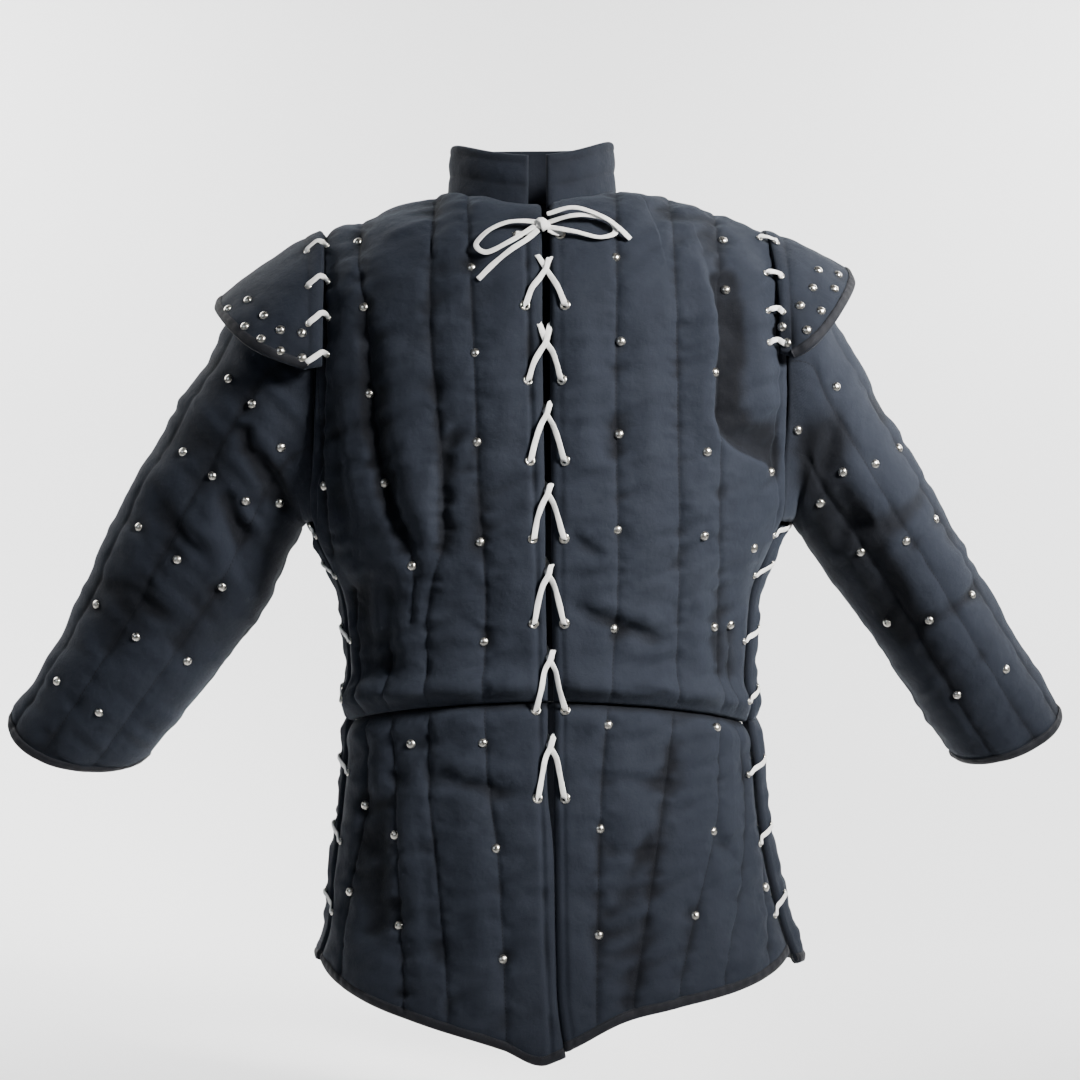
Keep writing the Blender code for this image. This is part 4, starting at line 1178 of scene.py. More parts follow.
class ClothField:
    """Finds places on the outside of the finished cloth."""

    def __init__(self) -> None:
        """Start with no cloth."""
        self.trees: dict[str, tuple[BVHTree, Grid]] = {}

    def take(self, sheet: ClothSheet) -> None:
        """Keep one finished piece's outside."""
        nu, nv = sheet.outer.shape[:2]
        faces = quads(np.arange(nu if sheet.ring else nu - 1), np.arange(nv - 1),
                      lambda i, j: (i % nu) * nv + j)
        tree = BVHTree.FromPolygons(sheet.outer.reshape(-1, 3).tolist(), faces.tolist())
        self.trees[sheet.name] = (tree, sheet.normal)

    def probe(self, name: str, start: Grid, way: Grid) -> Spot | None:
        """Cast a ray at one piece.

        Args:
            name: the piece.
            start: the start of the ray.
            way: its direction.

        Returns:
            The point and its normal against the ray, or None where it misses.
        """
        hit = self.trees[name][0].ray_cast(Vector(start), Vector(way))
        if hit[0] is None:
            return None
        return np.array(hit[0]), np.array(hit[1]) * -np.sign(np.dot(np.array(hit[1]), way))

    def land(self, name: str, point: Grid, normal: Grid) -> Grid:
        """The finished cloth's point under or over a point of the plain surface."""
        hit = self.probe(name, point + normal * 0.03, -normal)
        return point if hit is None else hit[0]

    def spot(self, names: Sequence[str], x: float, z: float, back: bool = False,
             reach: float = 0.004) -> Spot | None:
        """A point and a steady normal on the front or back of the coat.

        Args:
            names: the pieces that may be hit, the nearest counts.
            x: place across.
            z: height.
            back: whether to look from behind.
            reach: how far around the normal is averaged.

        Returns:
            The point and its normal, or None where there is no cloth.
        """
        way = np.array([0.0, -1.0 if back else 1.0, 0.0])
        best = None
        for name in names:
            hit = self.probe(name, np.array([x, -way[1], z]), way)
            if hit is not None and (best is None or np.dot(hit[0] - best[0], way) < 0):
                best = (hit[0], hit[1], name)
        if best is None:
            return None
        total = best[1].copy()
        for dx, dz in ((reach, 0), (-reach, 0), (0, reach), (0, -reach)):
            hit = self.probe(best[2], np.array([x + dx, -way[1], z + dz]), way)
            if hit is not None:
                total += hit[1]
        return best[0], unit(total)


# ---- the coat's body
def dress(made: Piece, slot: Slot) -> None:
    """Let a piece ride on the coat and log its points."""
    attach(made, ROOT)
    LOG.info("%s: %d points", made.name, len(made.data.vertices))


def bind(sheet: ClothSheet, name: str, tape: Cover,
         rim: slice = slice(None)) -> Piece:
    """Fold a tape round the last edge of a cloth, along the rim's columns."""
    beyond = unit(sheet.outer[rim, -1] - sheet.outer[rim, -6])
    return tape_round(name, sheet.outer[rim, -1] - beyond * SINK, sheet.inner[rim, -1] - beyond * SINK,
                      beyond, tape, sheet.ring)


def declare(sheet: ClothSheet, made: Piece,
            band: Piece | None = None) -> None:
    """Put a finished cloth in the place of its node, with its binding.

    Args:
        sheet: the cloth's grid.
        made: the cloth.
        band: its binding.
    """
    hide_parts(sheet.name)
    dress(made, Slot.CLOTH)
    sheet.area()
    if band:
        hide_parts(band.name.removeprefix("sewn_"))
        dress(band, Slot.BINDING)


@dataclass
class CoatBody:
    """Fronts, back and skirts, with their hem bindings."""

    shape: TorsoShape = field(default_factory=TorsoShape)
    seams_left: tuple[Seamline, ...] = (
        Seamline(mm((-107, -20), (-107.1, -149.1), (-96, -281.8), (-96.3, -365.3), (-106.6, -404.4),
                 (-108.1, -526.5), (-109.3, -580.1), (-97.1, -704.2), (-88.8, -786.8))),
        Seamline(mm((-72, -17.5), (-63, -188.9), (-56.2, -354.6), (-54.3, -373), (-53.7, -515.6),
                 (-49.7, -595.2), (-40.7, -656.7), (-36.6, -718), (-32.1, -820.9))),
        Seamline(mm((-182.7, -57.5), (-173.7, -123.7), (-164.8, -239.8), (-152.7, -297.8), (-124.3, -379.1),
                 (-125.9, -437.2)), open_foot=False),
        Seamline(mm((-150.7, -453.8), (-143.3, -590.8), (-135.9, -738.8), (-132.2, -790)),
                 open_top=False),
        Seamline(mm((-188, -400), (-182, -470), (-172, -545), (-174.8, -619.3), (-190.3, -706.1),
                 (-198, -790)), open_top=False),
        Seamline(mm((-220, -200), (-216, -299.6), (-209, -370)), open_foot=False),
    )
    seams_right: tuple[Seamline, ...] = (
        Seamline(mm((76.2, -12.7), (73.5, -218.2), (74, -436.4), (66.3, -519.4), (61.3, -575.3),
                 (58.1, -634.6), (54.6, -790.6))),
        Seamline(mm((131.7, -23.7), (134.1, -217.6), (134.6, -452.8), (130.6, -533.3), (119.1, -621.1),
                 (103.4, -719.1), (90.2, -794.2))),
        Seamline(mm((178.4, -75.1), (176.4, -314.4), (177, -535.6), (171.6, -642.6), (159.6, -691.4),
                 (135.2, -784.2))),
        Seamline(mm((189.6, -438.4), (193.3, -533.9), (198.5, -553.1), (200.6, -680.4), (180.4, -773)),
                 open_top=False),
        Seamline(mm((222.5, -590), (222, -650), (227, -751.8)), open_top=False),
    )
    studs_left: Rows = mm(
        (-67.3, -87.2), (-63, -172.3), (-60.9, -258.8), (-58.2, -355.5), (-54.6, -453), (-55.6, -551.6),
        (-42.6, -652.5), (-35.6, -757.4), (-183.2, -52.7), (-173.7, -123.7), (-167.9, -209.3),
        (-152.7, -297.8), (-125.3, -379.1), (-127.1, -554.6), (-174.8, -619.3), (-142.8, -644.1),
        (-138, -731.4), (-190.3, -706.1), (-216, -299.6))
    studs_right: Rows = mm(
        (74.2, -77.3), (78.5, -161.2), (76.4, -251.1), (75.1, -343.9), (72.1, -440.3), (66.3, -533.9),
        (58.1, -633.7), (56.3, -734.6), (183, -53.7), (183.3, -106.2), (170.6, -189.9), (163, -267.7),
        (160.6, -349.7), (172.4, -439.8), (189.6, -438.4), (174.8, -538.8), (193.3, -533.9),
        (170.6, -640.6), (151.5, -720), (226, -702.2), (230.5, -285.7), (212.6, -361.6))
    folds_left: tuple[Fold, ...] = folded(
        (((-14, -40), (-11.6, -121), (-8.7, -218), (-2.9, -373), (0, -508.6), (2.9, -654), (5.8, -751),
        (8.7, -799), (11.6, -862)), -3.4, 2, 2.4, 0.02),
        (((-172.7, -116.7), (-164.8, -239.8), (-152.7, -297.8), (-124.3, -379.1)), -6.2, 15, 8.5),
        (((-72.6, -228.7), (-93.1, -277), (-96, -314.8), (-96.3, -365.3)), -5.2, 11, 8),
        (((-104, -271.2), (-108, -320), (-106, -365.3)), 4, 8, 15),
        (((-152.7, -297.8), (-140, -330), (-125.1, -359.5)), -3.6, 5, 10),
        (((-132, -235), (-125, -300), (-112, -350)), 4.6, 15, 17),
        (((-104.9, -580), (-56.5, -595.2), (-5.8, -600.2)), -3.6, 6, 10),
        (((-108, -564), (-56.5, -576), (-10, -581)), 3, 9, 9),
        (((-186, -505), (-110, -500), (-50, -493), (-10, -490)), 4.6, 12, 18, 0.12),
        (((-148, -385), (-150, -440), (-146, -500)), -5.2, 9, 15),
        (((-176, -375), (-172, -440), (-164, -505)), -5, 10, 16),
        (((-205, -210), (-198, -290), (-188, -350)), -5, 8, 16),
        (((-160, -590), (-158, -680), (-164, -770)), -4.8, 11, 18),
        (((-118, -600), (-112, -690), (-104, -780)), -3.4, 12, 12),
        (((-64, -620), (-60, -700), (-56, -780)), 2.6, 14, 14),
        (((-85, -430), (-40, -446), (-8, -450)), -2.2, 6, 9),
        (((-35, -120), (-30, -190), (-32, -270)), 2.4, 12, 14))
    folds_right: tuple[Fold, ...] = folded(
        (((162.2, -71.7), (180, -134.3), (181.4, -245.7), (229.2, -274.9), (245, -296)), -12, 28, 5.5, 0.18),
        (((150, -76), (166, -134.3), (166, -240), (190, -290)), 4.6, 8, 16),
        (((206, -110), (216, -170), (224, -240)), 4.2, 12, 13),
        (((26.1, -343.9), (45, -360), (65, -371.1)), -3.6, 5, 9),
        (((28.2, -416.7), (73, -433.4), (124.5, -452.6)), -4.6, 5, 11),
        (((30, -404), (73, -419), (124.5, -437)), 3, 9, 10),
        (((73.1, -494), (105, -500), (137.7, -509)), -3.4, 5, 9),
        (((58.1, -653.6), (85, -656), (116.9, -655.5)), -3, 6, 9),
        (((170.6, -642.5), (184, -660), (198.5, -680.1)), -3.6, 6, 9),
        (((20, -490), (80, -495), (190, -508)), 4.2, 12, 18, 0.12),
        (((30, -580), (80, -586), (150, -595)), -2.6, 6, 11),
        (((80, -690), (98, -660), (112, -630)), -2.2, 7, 7),
        (((40, -120), (46, -200), (44, -290)), 2.8, 14, 16),
        (((100, -110), (106, -210), (104, -330)), 2, 15, 15),
        (((150, -380), (156, -430), (154, -490)), 2.6, 12, 12))
    eyelets: Rows = mm(
        (-21.8, 20, -55), (-14.6, 24.3, -126), (-11.6, 21.4, -199), (-9.7, 24.3, -277), (-7, 23.4, -352),
        (-6.2, 23.8, -434.5), (-4, 24.6, -519.5), (-2.4, 24.6, -604))
    back_seams: tuple[float, ...] = (0.13, 0.39, 0.64, 0.87)
    sheets: dict[str, ClothSheet] = field(default_factory=dict)
    made: dict[str, Piece] = field(default_factory=dict)

    def grid(self, name: str, surface: Surface, s: Grid, v: Grid) -> ClothSheet:
        """Lay a grid on a body surface, its normals away from the body."""
        ss, vv = np.meshgrid(s, v, indexing="ij")
        base, n = surface(ss, vv), facing(surface, ss, vv)
        out = base - np.array([0.01, 0.0, 0.0])
        out[..., 2] = np.clip((base[..., 2] + 0.19) * 1.3, 0, None)
        sign = np.sign(np.sum(n * out, axis=-1, keepdims=True))
        n = n * np.where(sign == 0, 1, sign)
        seam = (vv == 2.0) & (np.abs(ss) >= self.shape.neck_share)
        n[..., 1] = np.where(seam, 0.0, n[..., 1])
        return ClothSheet(name, base, unit(n))

    def edge_work(self, sheet: ClothSheet, side: Side, upper: bool) -> Grid:
        """Relief along a front's edges: the stitched band, the waist puff and the armhole roll."""
        near, far, low, _ = sheet.along()
        z = sheet.base[..., 2]
        band = 0.0095
        strong = 0.0 if side is Side.LEFT else 0.0008
        strong = strong * np.interp(z, [-0.85, -0.5, -0.1], [1.3, 1.0, 0.55])
        total = -strong * bell(near - band, 0.0016)
        total += 0.0007 * bell(near - band * 0.55, 0.0035)
        if side is Side.RIGHT:
            total -= 0.0006 * bell(near - 0.0022, 0.0012)
        if upper:
            total += 0.0088 * bell(low - 0.018, 0.014) * (0.4 + 0.6 * step_up(0.0, 0.03, near))
            hole = step_up(-0.345, -0.325, z) * step_up(0.02, -0.03, z)
            total += 0.003 * bell(far - 0.0065, 0.0062) * hole
            total -= 0.0016 * bell(far - 0.0155, 0.002) * hole
        else:
            total += 0.003 * bell(low - 0.019, 0.01) * step_up(0.0, 0.03, near)
            total -= 0.0038 * bell(low, 0.006)
        return total

    def front(self, side: Side, upper: bool, cloth: Cover) -> None:
        """Make one front or one front skirt."""
        word = side.word
        seams, folds, studs = (getattr(self, kind + word) for kind in ("seams_", "folds_", "studs_"))
        name = ("fore_body_" if upper else "fore_skirt_") + word
        s = edge_rows(0.31, 188)
        if upper:
            v = upper_rows(edge_rows(0.36, 136), edge_rows(0.2, 76))
            surface = lambda a, b: self.shape.upper(side, False, a, b)
        else:
            v = edge_rows(0.29, 112)
            surface = lambda a, b: self.shape.skirt(side, False, a, b)
        sheet = self.grid(name, surface, s, v)
        if not upper:
            sheet.rounded = (True, True, True, False)
            meet = np.exp(-sheet.along()[0] / 0.004) * step_up(-0.69, -0.73, sheet.base[..., 2])
            sheet.base[..., 0] -= side.value * 0.00052 * meet
        relief = Relief(seams, folds, studs, seed=11 + side.value + 4 * upper)
        x, z = sheet.base[..., 0], sheet.base[..., 2]
        stretch = 1 / np.clip(np.abs(sheet.normal[..., 1]), 0.3, 1) ** 0.9
        stretch = np.where(z > self.shape.chest, 1.0, stretch)
        height, stitch = relief.height(sheet.base, x, z, stretch)
        height = height * (0.12 + 0.88 * sheet.fade(0.016)) + self.edge_work(sheet, side, upper)
        for pair in self.eyelets:
            far = np.hypot(x - pair[0 if side is Side.LEFT else 1], z - pair[2])
            height -= 0.0012 * bell(far, 0.0065)
        self.made[name] = sheet.build(height, stitch, cloth, np.minimum(height + 0.004, 0))
        self.sheets[name] = sheet

    def rear(self, upper: bool, cloth: Cover) -> None:
        """Make the back or the back skirt, quilted in the same straight lines."""
        name = "back_body" if upper else "back_skirt"
        surface = both_halves(self.shape.upper if upper else self.shape.skirt)
        s = -1 + 2 * edge_rows(0.62, 224)
        s[len(s) // 2] = 0.0
        if upper:
            v = upper_rows(edge_rows(0.38, 92), edge_rows(0.2, 50))
        else:
            v = edge_rows(0.26, 84)
        sheet = self.grid(name, surface, s, v)
        if not upper:
            sheet.rounded = (True, True, True, False)
        ss = np.meshgrid(s, v, indexing="ij")[0]
        z = sheet.base[..., 2]
        width = measure(np.diff(sheet.base, axis=0)).sum(axis=0)[None, :] / 2
        lines = [Seamline(((side * place, 0.1), (side * place, -0.5), (side * place, -0.95)))
                 for place in self.back_seams for side in (-1, 1)]
        folds = folded(
            (((-150, -470), (-20, -480), (140, -470)), 5, 14, 18),
            (((-120, -400), (10, -425), (110, -400)), 4, 12, 16),
            (((-170, -200), (-150, -270), (-120, -330)), -4.5, 12, 14),
            (((180, -190), (160, -270), (130, -330)), -4.5, 12, 14),
            (((-90, -600), (-96, -690), (-104, -780)), 3.6, 18, 18),
            (((110, -590), (116, -690), (124, -780)), 3.6, 18, 18),
            (((-60, -60), (-52, -120), (-44, -200)), 2.4, 16, 16))
        relief = Relief(lines, seed=29 + upper)
        height, stitch = relief.height(sheet.base, ss, z, width + np.zeros(z.shape))
        height[...] += sum(fold.height(sheet.base[..., 0], z) for fold in folds)
        for x, h in self.back_studs():
            far = np.hypot(sheet.base[..., 0] - x, z - h)
            height -= 0.0016 * bell(far, 0.0085) * (sheet.base[..., 1] > 0)
        near, far, low, _ = sheet.along()
        height = height * (0.12 + 0.88 * sheet.fade(0.016))
        if upper:
            height += 0.0046 * bell(low - 0.02, 0.016)
            hole = step_up(-0.345, -0.325, z) * step_up(0.02, -0.03, z)
            edge = np.minimum(near, far)
            height += 0.0026 * bell(edge - 0.0065, 0.0062) * hole
        self.made[name] = sheet.build(height, stitch, cloth)
        self.sheets[name] = sheet

    def back_studs(self) -> Rows:
        """Places of the studs on the back, on the quilting lines as at the front."""
        found = []
        for k, place in enumerate(self.back_seams[:3]):
            for side in (Side.LEFT, Side.RIGHT):
                for row in range(9):
                    z = -0.075 - 0.088 * row - (0.044 if k % 2 else 0.0)
                    if not -0.775 < z < -0.06 or abs(z + 0.532) < 0.012:
                        continue
                    angle = self.shape.panel_angle(side, True, np.array(place), np.array(z))
                    found.append((float(self.shape.hull(angle, np.array(z))[0]), z))
        return found

    def build(self, finishes: Finishes, cloth_field: ClothField) -> None:
        for side in Side:
            self.front(side, True, finishes.cloth)
            self.front(side, False, finishes.cloth)
        self.rear(True, finishes.cloth)
        self.rear(False, finishes.cloth)
        for name, made in self.made.items():
            sheet = self.sheets[name]
            cloth_field.take(sheet)
            word = name.split("_")[-1] if "fore" in name else "back"
            band = bind(sheet, "hem_binding_" + word, finishes.tape) if "skirt" in name else None
            declare(sheet, made, band)


# ---- collar
@dataclass
class Collar:
    """The stand collar, from one front edge round the back to the other."""

    shape: TorsoShape = field(default_factory=TorsoShape)
    edges: Pair = (-0.012, 0.007)
    high: float = 0.052
    foot: float = -0.004
    wall: float = 0.007

    def points(self, u: Grid, v: Grid) -> Grid:
        """Points of the collar: u from the left edge round to the right, v up."""
        cx, cy = self.shape.neck
        half, deep = self.shape.neck_half, self.shape.neck_deep
        first, last = (math.asin((x - cx) / half) for x in self.edges)
        turn = first - (2 * math.pi - (last - first)) * u
        x, y = cx + half * np.sin(turn), cy - deep * np.cos(turn)
        foot = np.where(np.cos(turn) > 0, -0.018, 0.01)
        left = self.shape.shoulder_left.read("z", half - cx)
        right = self.shape.shoulder_right.read("z", half + cx)
        foot = foot + (np.where(x < cx, left, right) - foot) * np.sin(turn) ** 2
        lean = 1 - 0.02 * v
        return np.stack([cx + (x - cx) * lean, cy + (y - cy) * lean,
                         foot + self.foot + (self.high - self.foot) * v], -1)

    def build(self, cloth: Cover, cloth_field: ClothField) -> None:
        u, v = edge_rows(0.49, 230), edge_rows(self.high, 26)
        uu, vv = np.meshgrid(u, v, indexing="ij")
        base = self.points(uu, vv)
        out = base - np.array([*self.shape.neck, 0.0])
        out[..., 2] = 0
        sheet = ClothSheet("collar", base, unit(out), False, self.wall, 0.0031)
        near, _, low, high = sheet.along()
        total = 0.001 * lattice_noise(base, (0.03, 0.03, 0.03), 5)
        total += 0.0005 * lattice_noise(base, (0.01, 0.01, 0.012), 6)
        rows = np.minimum.reduce([np.abs(high - 0.0085), np.abs(low - 0.025)])
        total += 0.0019 * (0.8 - np.exp(-((rows / 0.0055) ** 0.9)))
        total *= 0.1 + 0.9 * sheet.fade(0.008)
        stitch = np.stack([rows, near, rows], -1)
        made = sheet.build(total, stitch, cloth)
        cloth_field.take(sheet)
        declare(sheet, made)


# ---- sleeves
@dataclass
class Sleeve:
    """One sleeve: a quilted tube from the armhole to its bound cuff."""

    side: Side
    sections: Table
    lobe: float
    studs: Rows
    columns: tuple[float, ...]
    folds: tuple[Fold, ...]
    shape: TorsoShape = field(default_factory=TorsoShape)
    around: int = 208
    name: str = field(init=False)

    def __post_init__(self) -> None:
        """Name the piece."""
        self.name = "sleeve_" + self.side.word

    def armhole(self, count: int) -> Grid:
        """Points round the armhole from the shoulder tip down the front and up the back."""
        run = []
        for back, order in ((False, 1), (True, -1)):
            bottom = float(self.shape.waist(back, 1.0))
            low = (self.shape.underarm - bottom) / (self.shape.chest - bottom)
            v = np.concatenate([np.linspace(2, 1, 60), np.linspace(1, low, 80)[1:]])
            edge = self.shape.upper(self.side, back, 1.0, v)
            away = unit(edge - self.shape.upper(self.side, back, 1.0 - 1e-3, v))
            run.append((edge + away * 0.0016)[::order])
        line = np.concatenate([run[0], run[1], run[0][:1]])
        length = run_length(line)
        at = length[-1] * np.arange(count) / count
        ring = np.stack([np.interp(at, length, line[:, k]) for k in range(3)], -1)
        for _ in range(6):
            ring = (np.roll(ring, 1, axis=0) + ring * 2 + np.roll(ring, -1, axis=0)) / 4
        return ring + np.array([self.side.value * 0.0015, 0.0, 0.0])

    def rings(self, places: Grid) -> Grid:
        """Points of the sleeve's outside, of shape (around, along, 3)."""
        first = self.armhole(self.around)
        turn = 2 * math.pi * np.arange(self.around) / self.around
        top, bottom = first[0], first[self.around // 2]
        start = (0.0, top[0], top[2], bottom[0], bottom[2], 0.0, 0.079)
        table = Table(self.sections.columns, (start,) + self.sections.rows)
        rings = []
        for at in places:
            out_x, out_z, in_x, in_z, mid_y, deep = (float(table.read(k, at)) for k in table.columns[1:])
            outer, inner = np.array([out_x, 0, out_z]), np.array([in_x, 0, in_z])
            middle, half = (outer + inner) / 2, (outer - inner) / 2
            middle[1] = mid_y
            ring = (middle + np.cos(turn)[:, None] * half
                    + np.sin(turn)[:, None] * np.array([0, -deep, 0]))
            blend = max(0.0, 1 - at / 0.1)
            blend = blend * blend * (3 - 2 * blend)
            rings.append(first * blend + ring * (1 - blend))
        rings = np.array(rings)
        axis = unit(rings[-1].mean(axis=0) - rings[-12].mean(axis=0))
        drop = self.lobe * np.clip(np.sin(turn), 0, 1) ** 1.3
        share = step_up(0.8, 1.0, places) * 0.55 + np.clip((places - 0.8) / 0.2, 0, 1) * 0.45
        rings = rings + axis * (drop[None, :, None] * share[:, None, None])
        return np.swapaxes(rings, 0, 1)

    def build(self, finishes: Finishes, cloth_field: ClothField) -> None:
        sign = self.side.value
        places = edge_rows(0.52, 150)
        base = self.rings(places)
        n = tube_normals(base)
        middle = base.mean(axis=0, keepdims=True)
        n = outwards(n, base - middle)
        sheet = ClothSheet(self.name, base, n, True, rounded=(False, False, True, False))
        _, _, low, high = sheet.along()
        x, z = base[..., 0], base[..., 2]
        fore = step_up(0.05, 0.5, -n[..., 1])
        turn = (2 * math.pi * np.arange(self.around) / self.around)[:, None] + np.zeros(x.shape)
        radius = measure(np.diff(base, axis=0)).sum(axis=0)[None, :] / (2 * math.pi)
        nearest, signed = np.full((2, *x.shape), FAR)
        for column in self.columns:
            d = (np.mod(turn - column + math.pi, 2 * math.pi) - math.pi) * radius
            closer = np.abs(d) < nearest
            nearest = np.where(closer, np.abs(d), nearest)
            signed = np.where(closer, d, signed)
        pull = lattice_noise(base, (0.024, 0.03, 0.014), 41 + sign)
        total = 0.0036 * (0.86 - np.exp(-((nearest / (0.0085 * (1 + 0.3 * pull))) ** 0.85)))
        pucker = lattice_noise(base, (0.008, 0.012, 0.008), 43 + sign)
        total += 0.0008 * pucker * bell(nearest - 0.004, 0.012)
        total += 0.0034 * lattice_noise(base, (0.055, 0.055, 0.04), 44 + sign)
        lean = np.stack([x + sign * z, base[..., 1], z - sign * x], -1)
        total += 0.0018 * lattice_noise(lean, (0.05, 0.04, 0.016), 45 + sign)
        for fold in self.folds:
            total += 1.5 * fold.height(x, z) * fore
        for sx, sz in self.studs:
            total -= 0.0016 * bell(np.hypot(x - sx, z - sz), 0.0085) * fore
        ends = step_up(0.0, 0.024, low) * (0.25 + 0.75 * step_up(0.0, 0.014, high))
        total = total * ends - 0.0012 * bell(high - 0.011, 0.0022)
        made = sheet.build(total, np.stack([signed, low, nearest], -1), finishes.cloth,
                           np.minimum(total + 0.004, 0))
        cloth_field.take(sheet)
        declare(sheet, made, bind(sheet, "cuff_binding_" + self.side.word, finishes.tape))


# ---- shoulder wings
@dataclass
class Wing:
    """One shoulder wing, laced to the body over the sleeve head."""

    side: Side
    tips: Table
    reach: float
    studs: Rows
    shape: TorsoShape = field(default_factory=TorsoShape)
    inner: float = 0.925
    rise: float = 0.003
    name: str = field(init=False)

    def __post_init__(self) -> None:
        """Name the piece."""
        self.name = "wing_" + self.side.word

    def centre(self) -> Grid:
        """The middle of the armhole."""
        return np.array([0.23 * self.side.value, 0.0, -0.19])

    def points(self, along: Grid, t: Grid) -> Grid:
        """Points of the wing: along -1 at the front corner, 1 behind; t 0 at the foot, 1 at the hem."""
        along, t = np.broadcast_arrays(np.asarray(along, float), np.asarray(t, float))
        v = 2 - np.abs(along) * self.reach
        front = self.shape.upper(self.side, False, self.inner, v)
        back = self.shape.upper(self.side, True, self.inner, v)
        foot = np.where((along < 0)[..., None], front, back)
        out = foot - self.centre()
        out[..., 0] = 0.0
        out = unit(out)
        foot = foot + out * (self.shape.wall + self.rise)
        near = 1 - np.abs(along)
        tip = np.stack([self.tips.read("x", near),
                        self.tips.read("y", near) * np.where(along < 0, 1, -0.95),
                        self.tips.read("z", near)], -1)
        mid = (foot + tip) / 2 + out * 0.006
        mid[..., 0] += self.side.value * 0.004
        t = t[..., None]
        return foot * (1 - t) ** 2 + mid * 2 * t * (1 - t) + tip * t * t

    def normals(self, along: Grid, t: Grid) -> Grid:
        """Outward unit normals of the wing."""
        n = facing(self.points, along, t)
        out = self.points(along, t) - self.centre()
        out[..., 0] *= 0.3
        return outwards(n, out)

    def build(self, finishes: Finishes, cloth_field: ClothField) -> None:
        along = -0.985 + 1.97 * edge_rows(0.46, 176)
        aa, tt = np.meshgrid(along, edge_rows(0.09, 46), indexing="ij")
        base, n = self.points(aa, tt), self.normals(aa, tt)
        sheet = ClothSheet(self.name, base, n, rounded=(True, True, True, False))
        near, _, low, _ = sheet.along()
        total = 0.0012 * lattice_noise(base, (0.03, 0.03, 0.03), 61 + self.side.value)
        total += 0.0005 * lattice_noise(base, (0.011, 0.011, 0.011), 62 + self.side.value)
        rows = np.abs(low - 0.019)
        total += 0.0018 * (0.8 - np.exp(-((rows / 0.006) ** 0.9)))
        for sx, sz in self.studs:
            distance = np.hypot(base[..., 0] - sx, base[..., 2] - sz)
            total -= 0.0012 * bell(distance, 0.008) * (base[..., 1] < 0)
        total *= 0.15 + 0.85 * sheet.fade(0.01)
        made = sheet.build(total, np.stack([rows, near, rows], -1), finishes.cloth)
        cloth_field.take(sheet)
        band = bind(sheet, "wing_binding_" + self.side.word, finishes.tape, slice(4, -4))
        declare(sheet, made, band)


# ---- metal
@dataclass
class Metalwork:
    """Studs and flanged eyelets, set on the finished cloth."""

    cloth: ClothField
    metal: Cover
    # hollow: the near-black painted shade set in the eyelets' holes
    hollow: Cover
    stud: Rows = mm(
        (0.1, -1.2), (4, -1.2), (4.7, -0.4), (4.8, 0.3), (4.5, 1), (4, 1.7), (3.2, 2.4), (2.2, 2.9),
        (1.1, 3.2), (0.1, 3.3))
    flange: Rows = mm(
        (2.8, -4), (3, -0.4), (5, -0.4), (5.3, 0.2), (5, 0.8), (4.3, 1.2), (3.6, 1.2), (3, 0.8), (2.6, 0.1),
        (2.5, -4), (2.8, -4))

    def studs(self, name: str, names: Sequence[str], places: Rows, back: bool = False) -> None:
        """Set domed studs at places of the front or back elevation."""
        parts = MeshParts()
        for i, (x, z) in enumerate(places):
            spot = self.cloth.spot(names, x, z, back, 0.006)
            if spot is None:
                LOG.warning("no cloth under stud %s %.3f %.3f", name, x, z)
                continue
            turned(parts, spot[0] + spot[1] * 0.0002, spot[1], self.stud, 16, 0.3 * i)
        dress(parts.build(name, self.metal), Slot.METAL)

    def eyelets(self, name: str, spots: Sequence[Spot], nodes: Sequence[str]) -> None:
        """Set eyelets at points with normals, each with a near-black disc of painted shade in its hole; those
        that are no node of the part are small ones.
        """
        rings, shade_discs = MeshParts(), MeshParts()
        # a thin near-black disc down in each eyelet: painted shade of the hole
        floor = ((0.0001, -0.0034), (0.0026, -0.0034), (0.0026, -0.0028), (0.0001, -0.0028))
        share = 1.0 if nodes else 0.66
        flange = [(radius * share, height) for radius, height in self.flange]
        for i, (point, normal) in enumerate(spots):
            turned(rings, point + normal * 0.0005, normal, flange, 18, 0.2 * i)
            turned(shade_discs, point + normal * 0.0005, normal, floor, 10)
        made = rings.build(name, self.metal)
        if nodes:
            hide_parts(*nodes)
        dress(made, Slot.METAL)
        dress(shade_discs.build(name + "_hollow", self.hollow), Slot.BINDING)


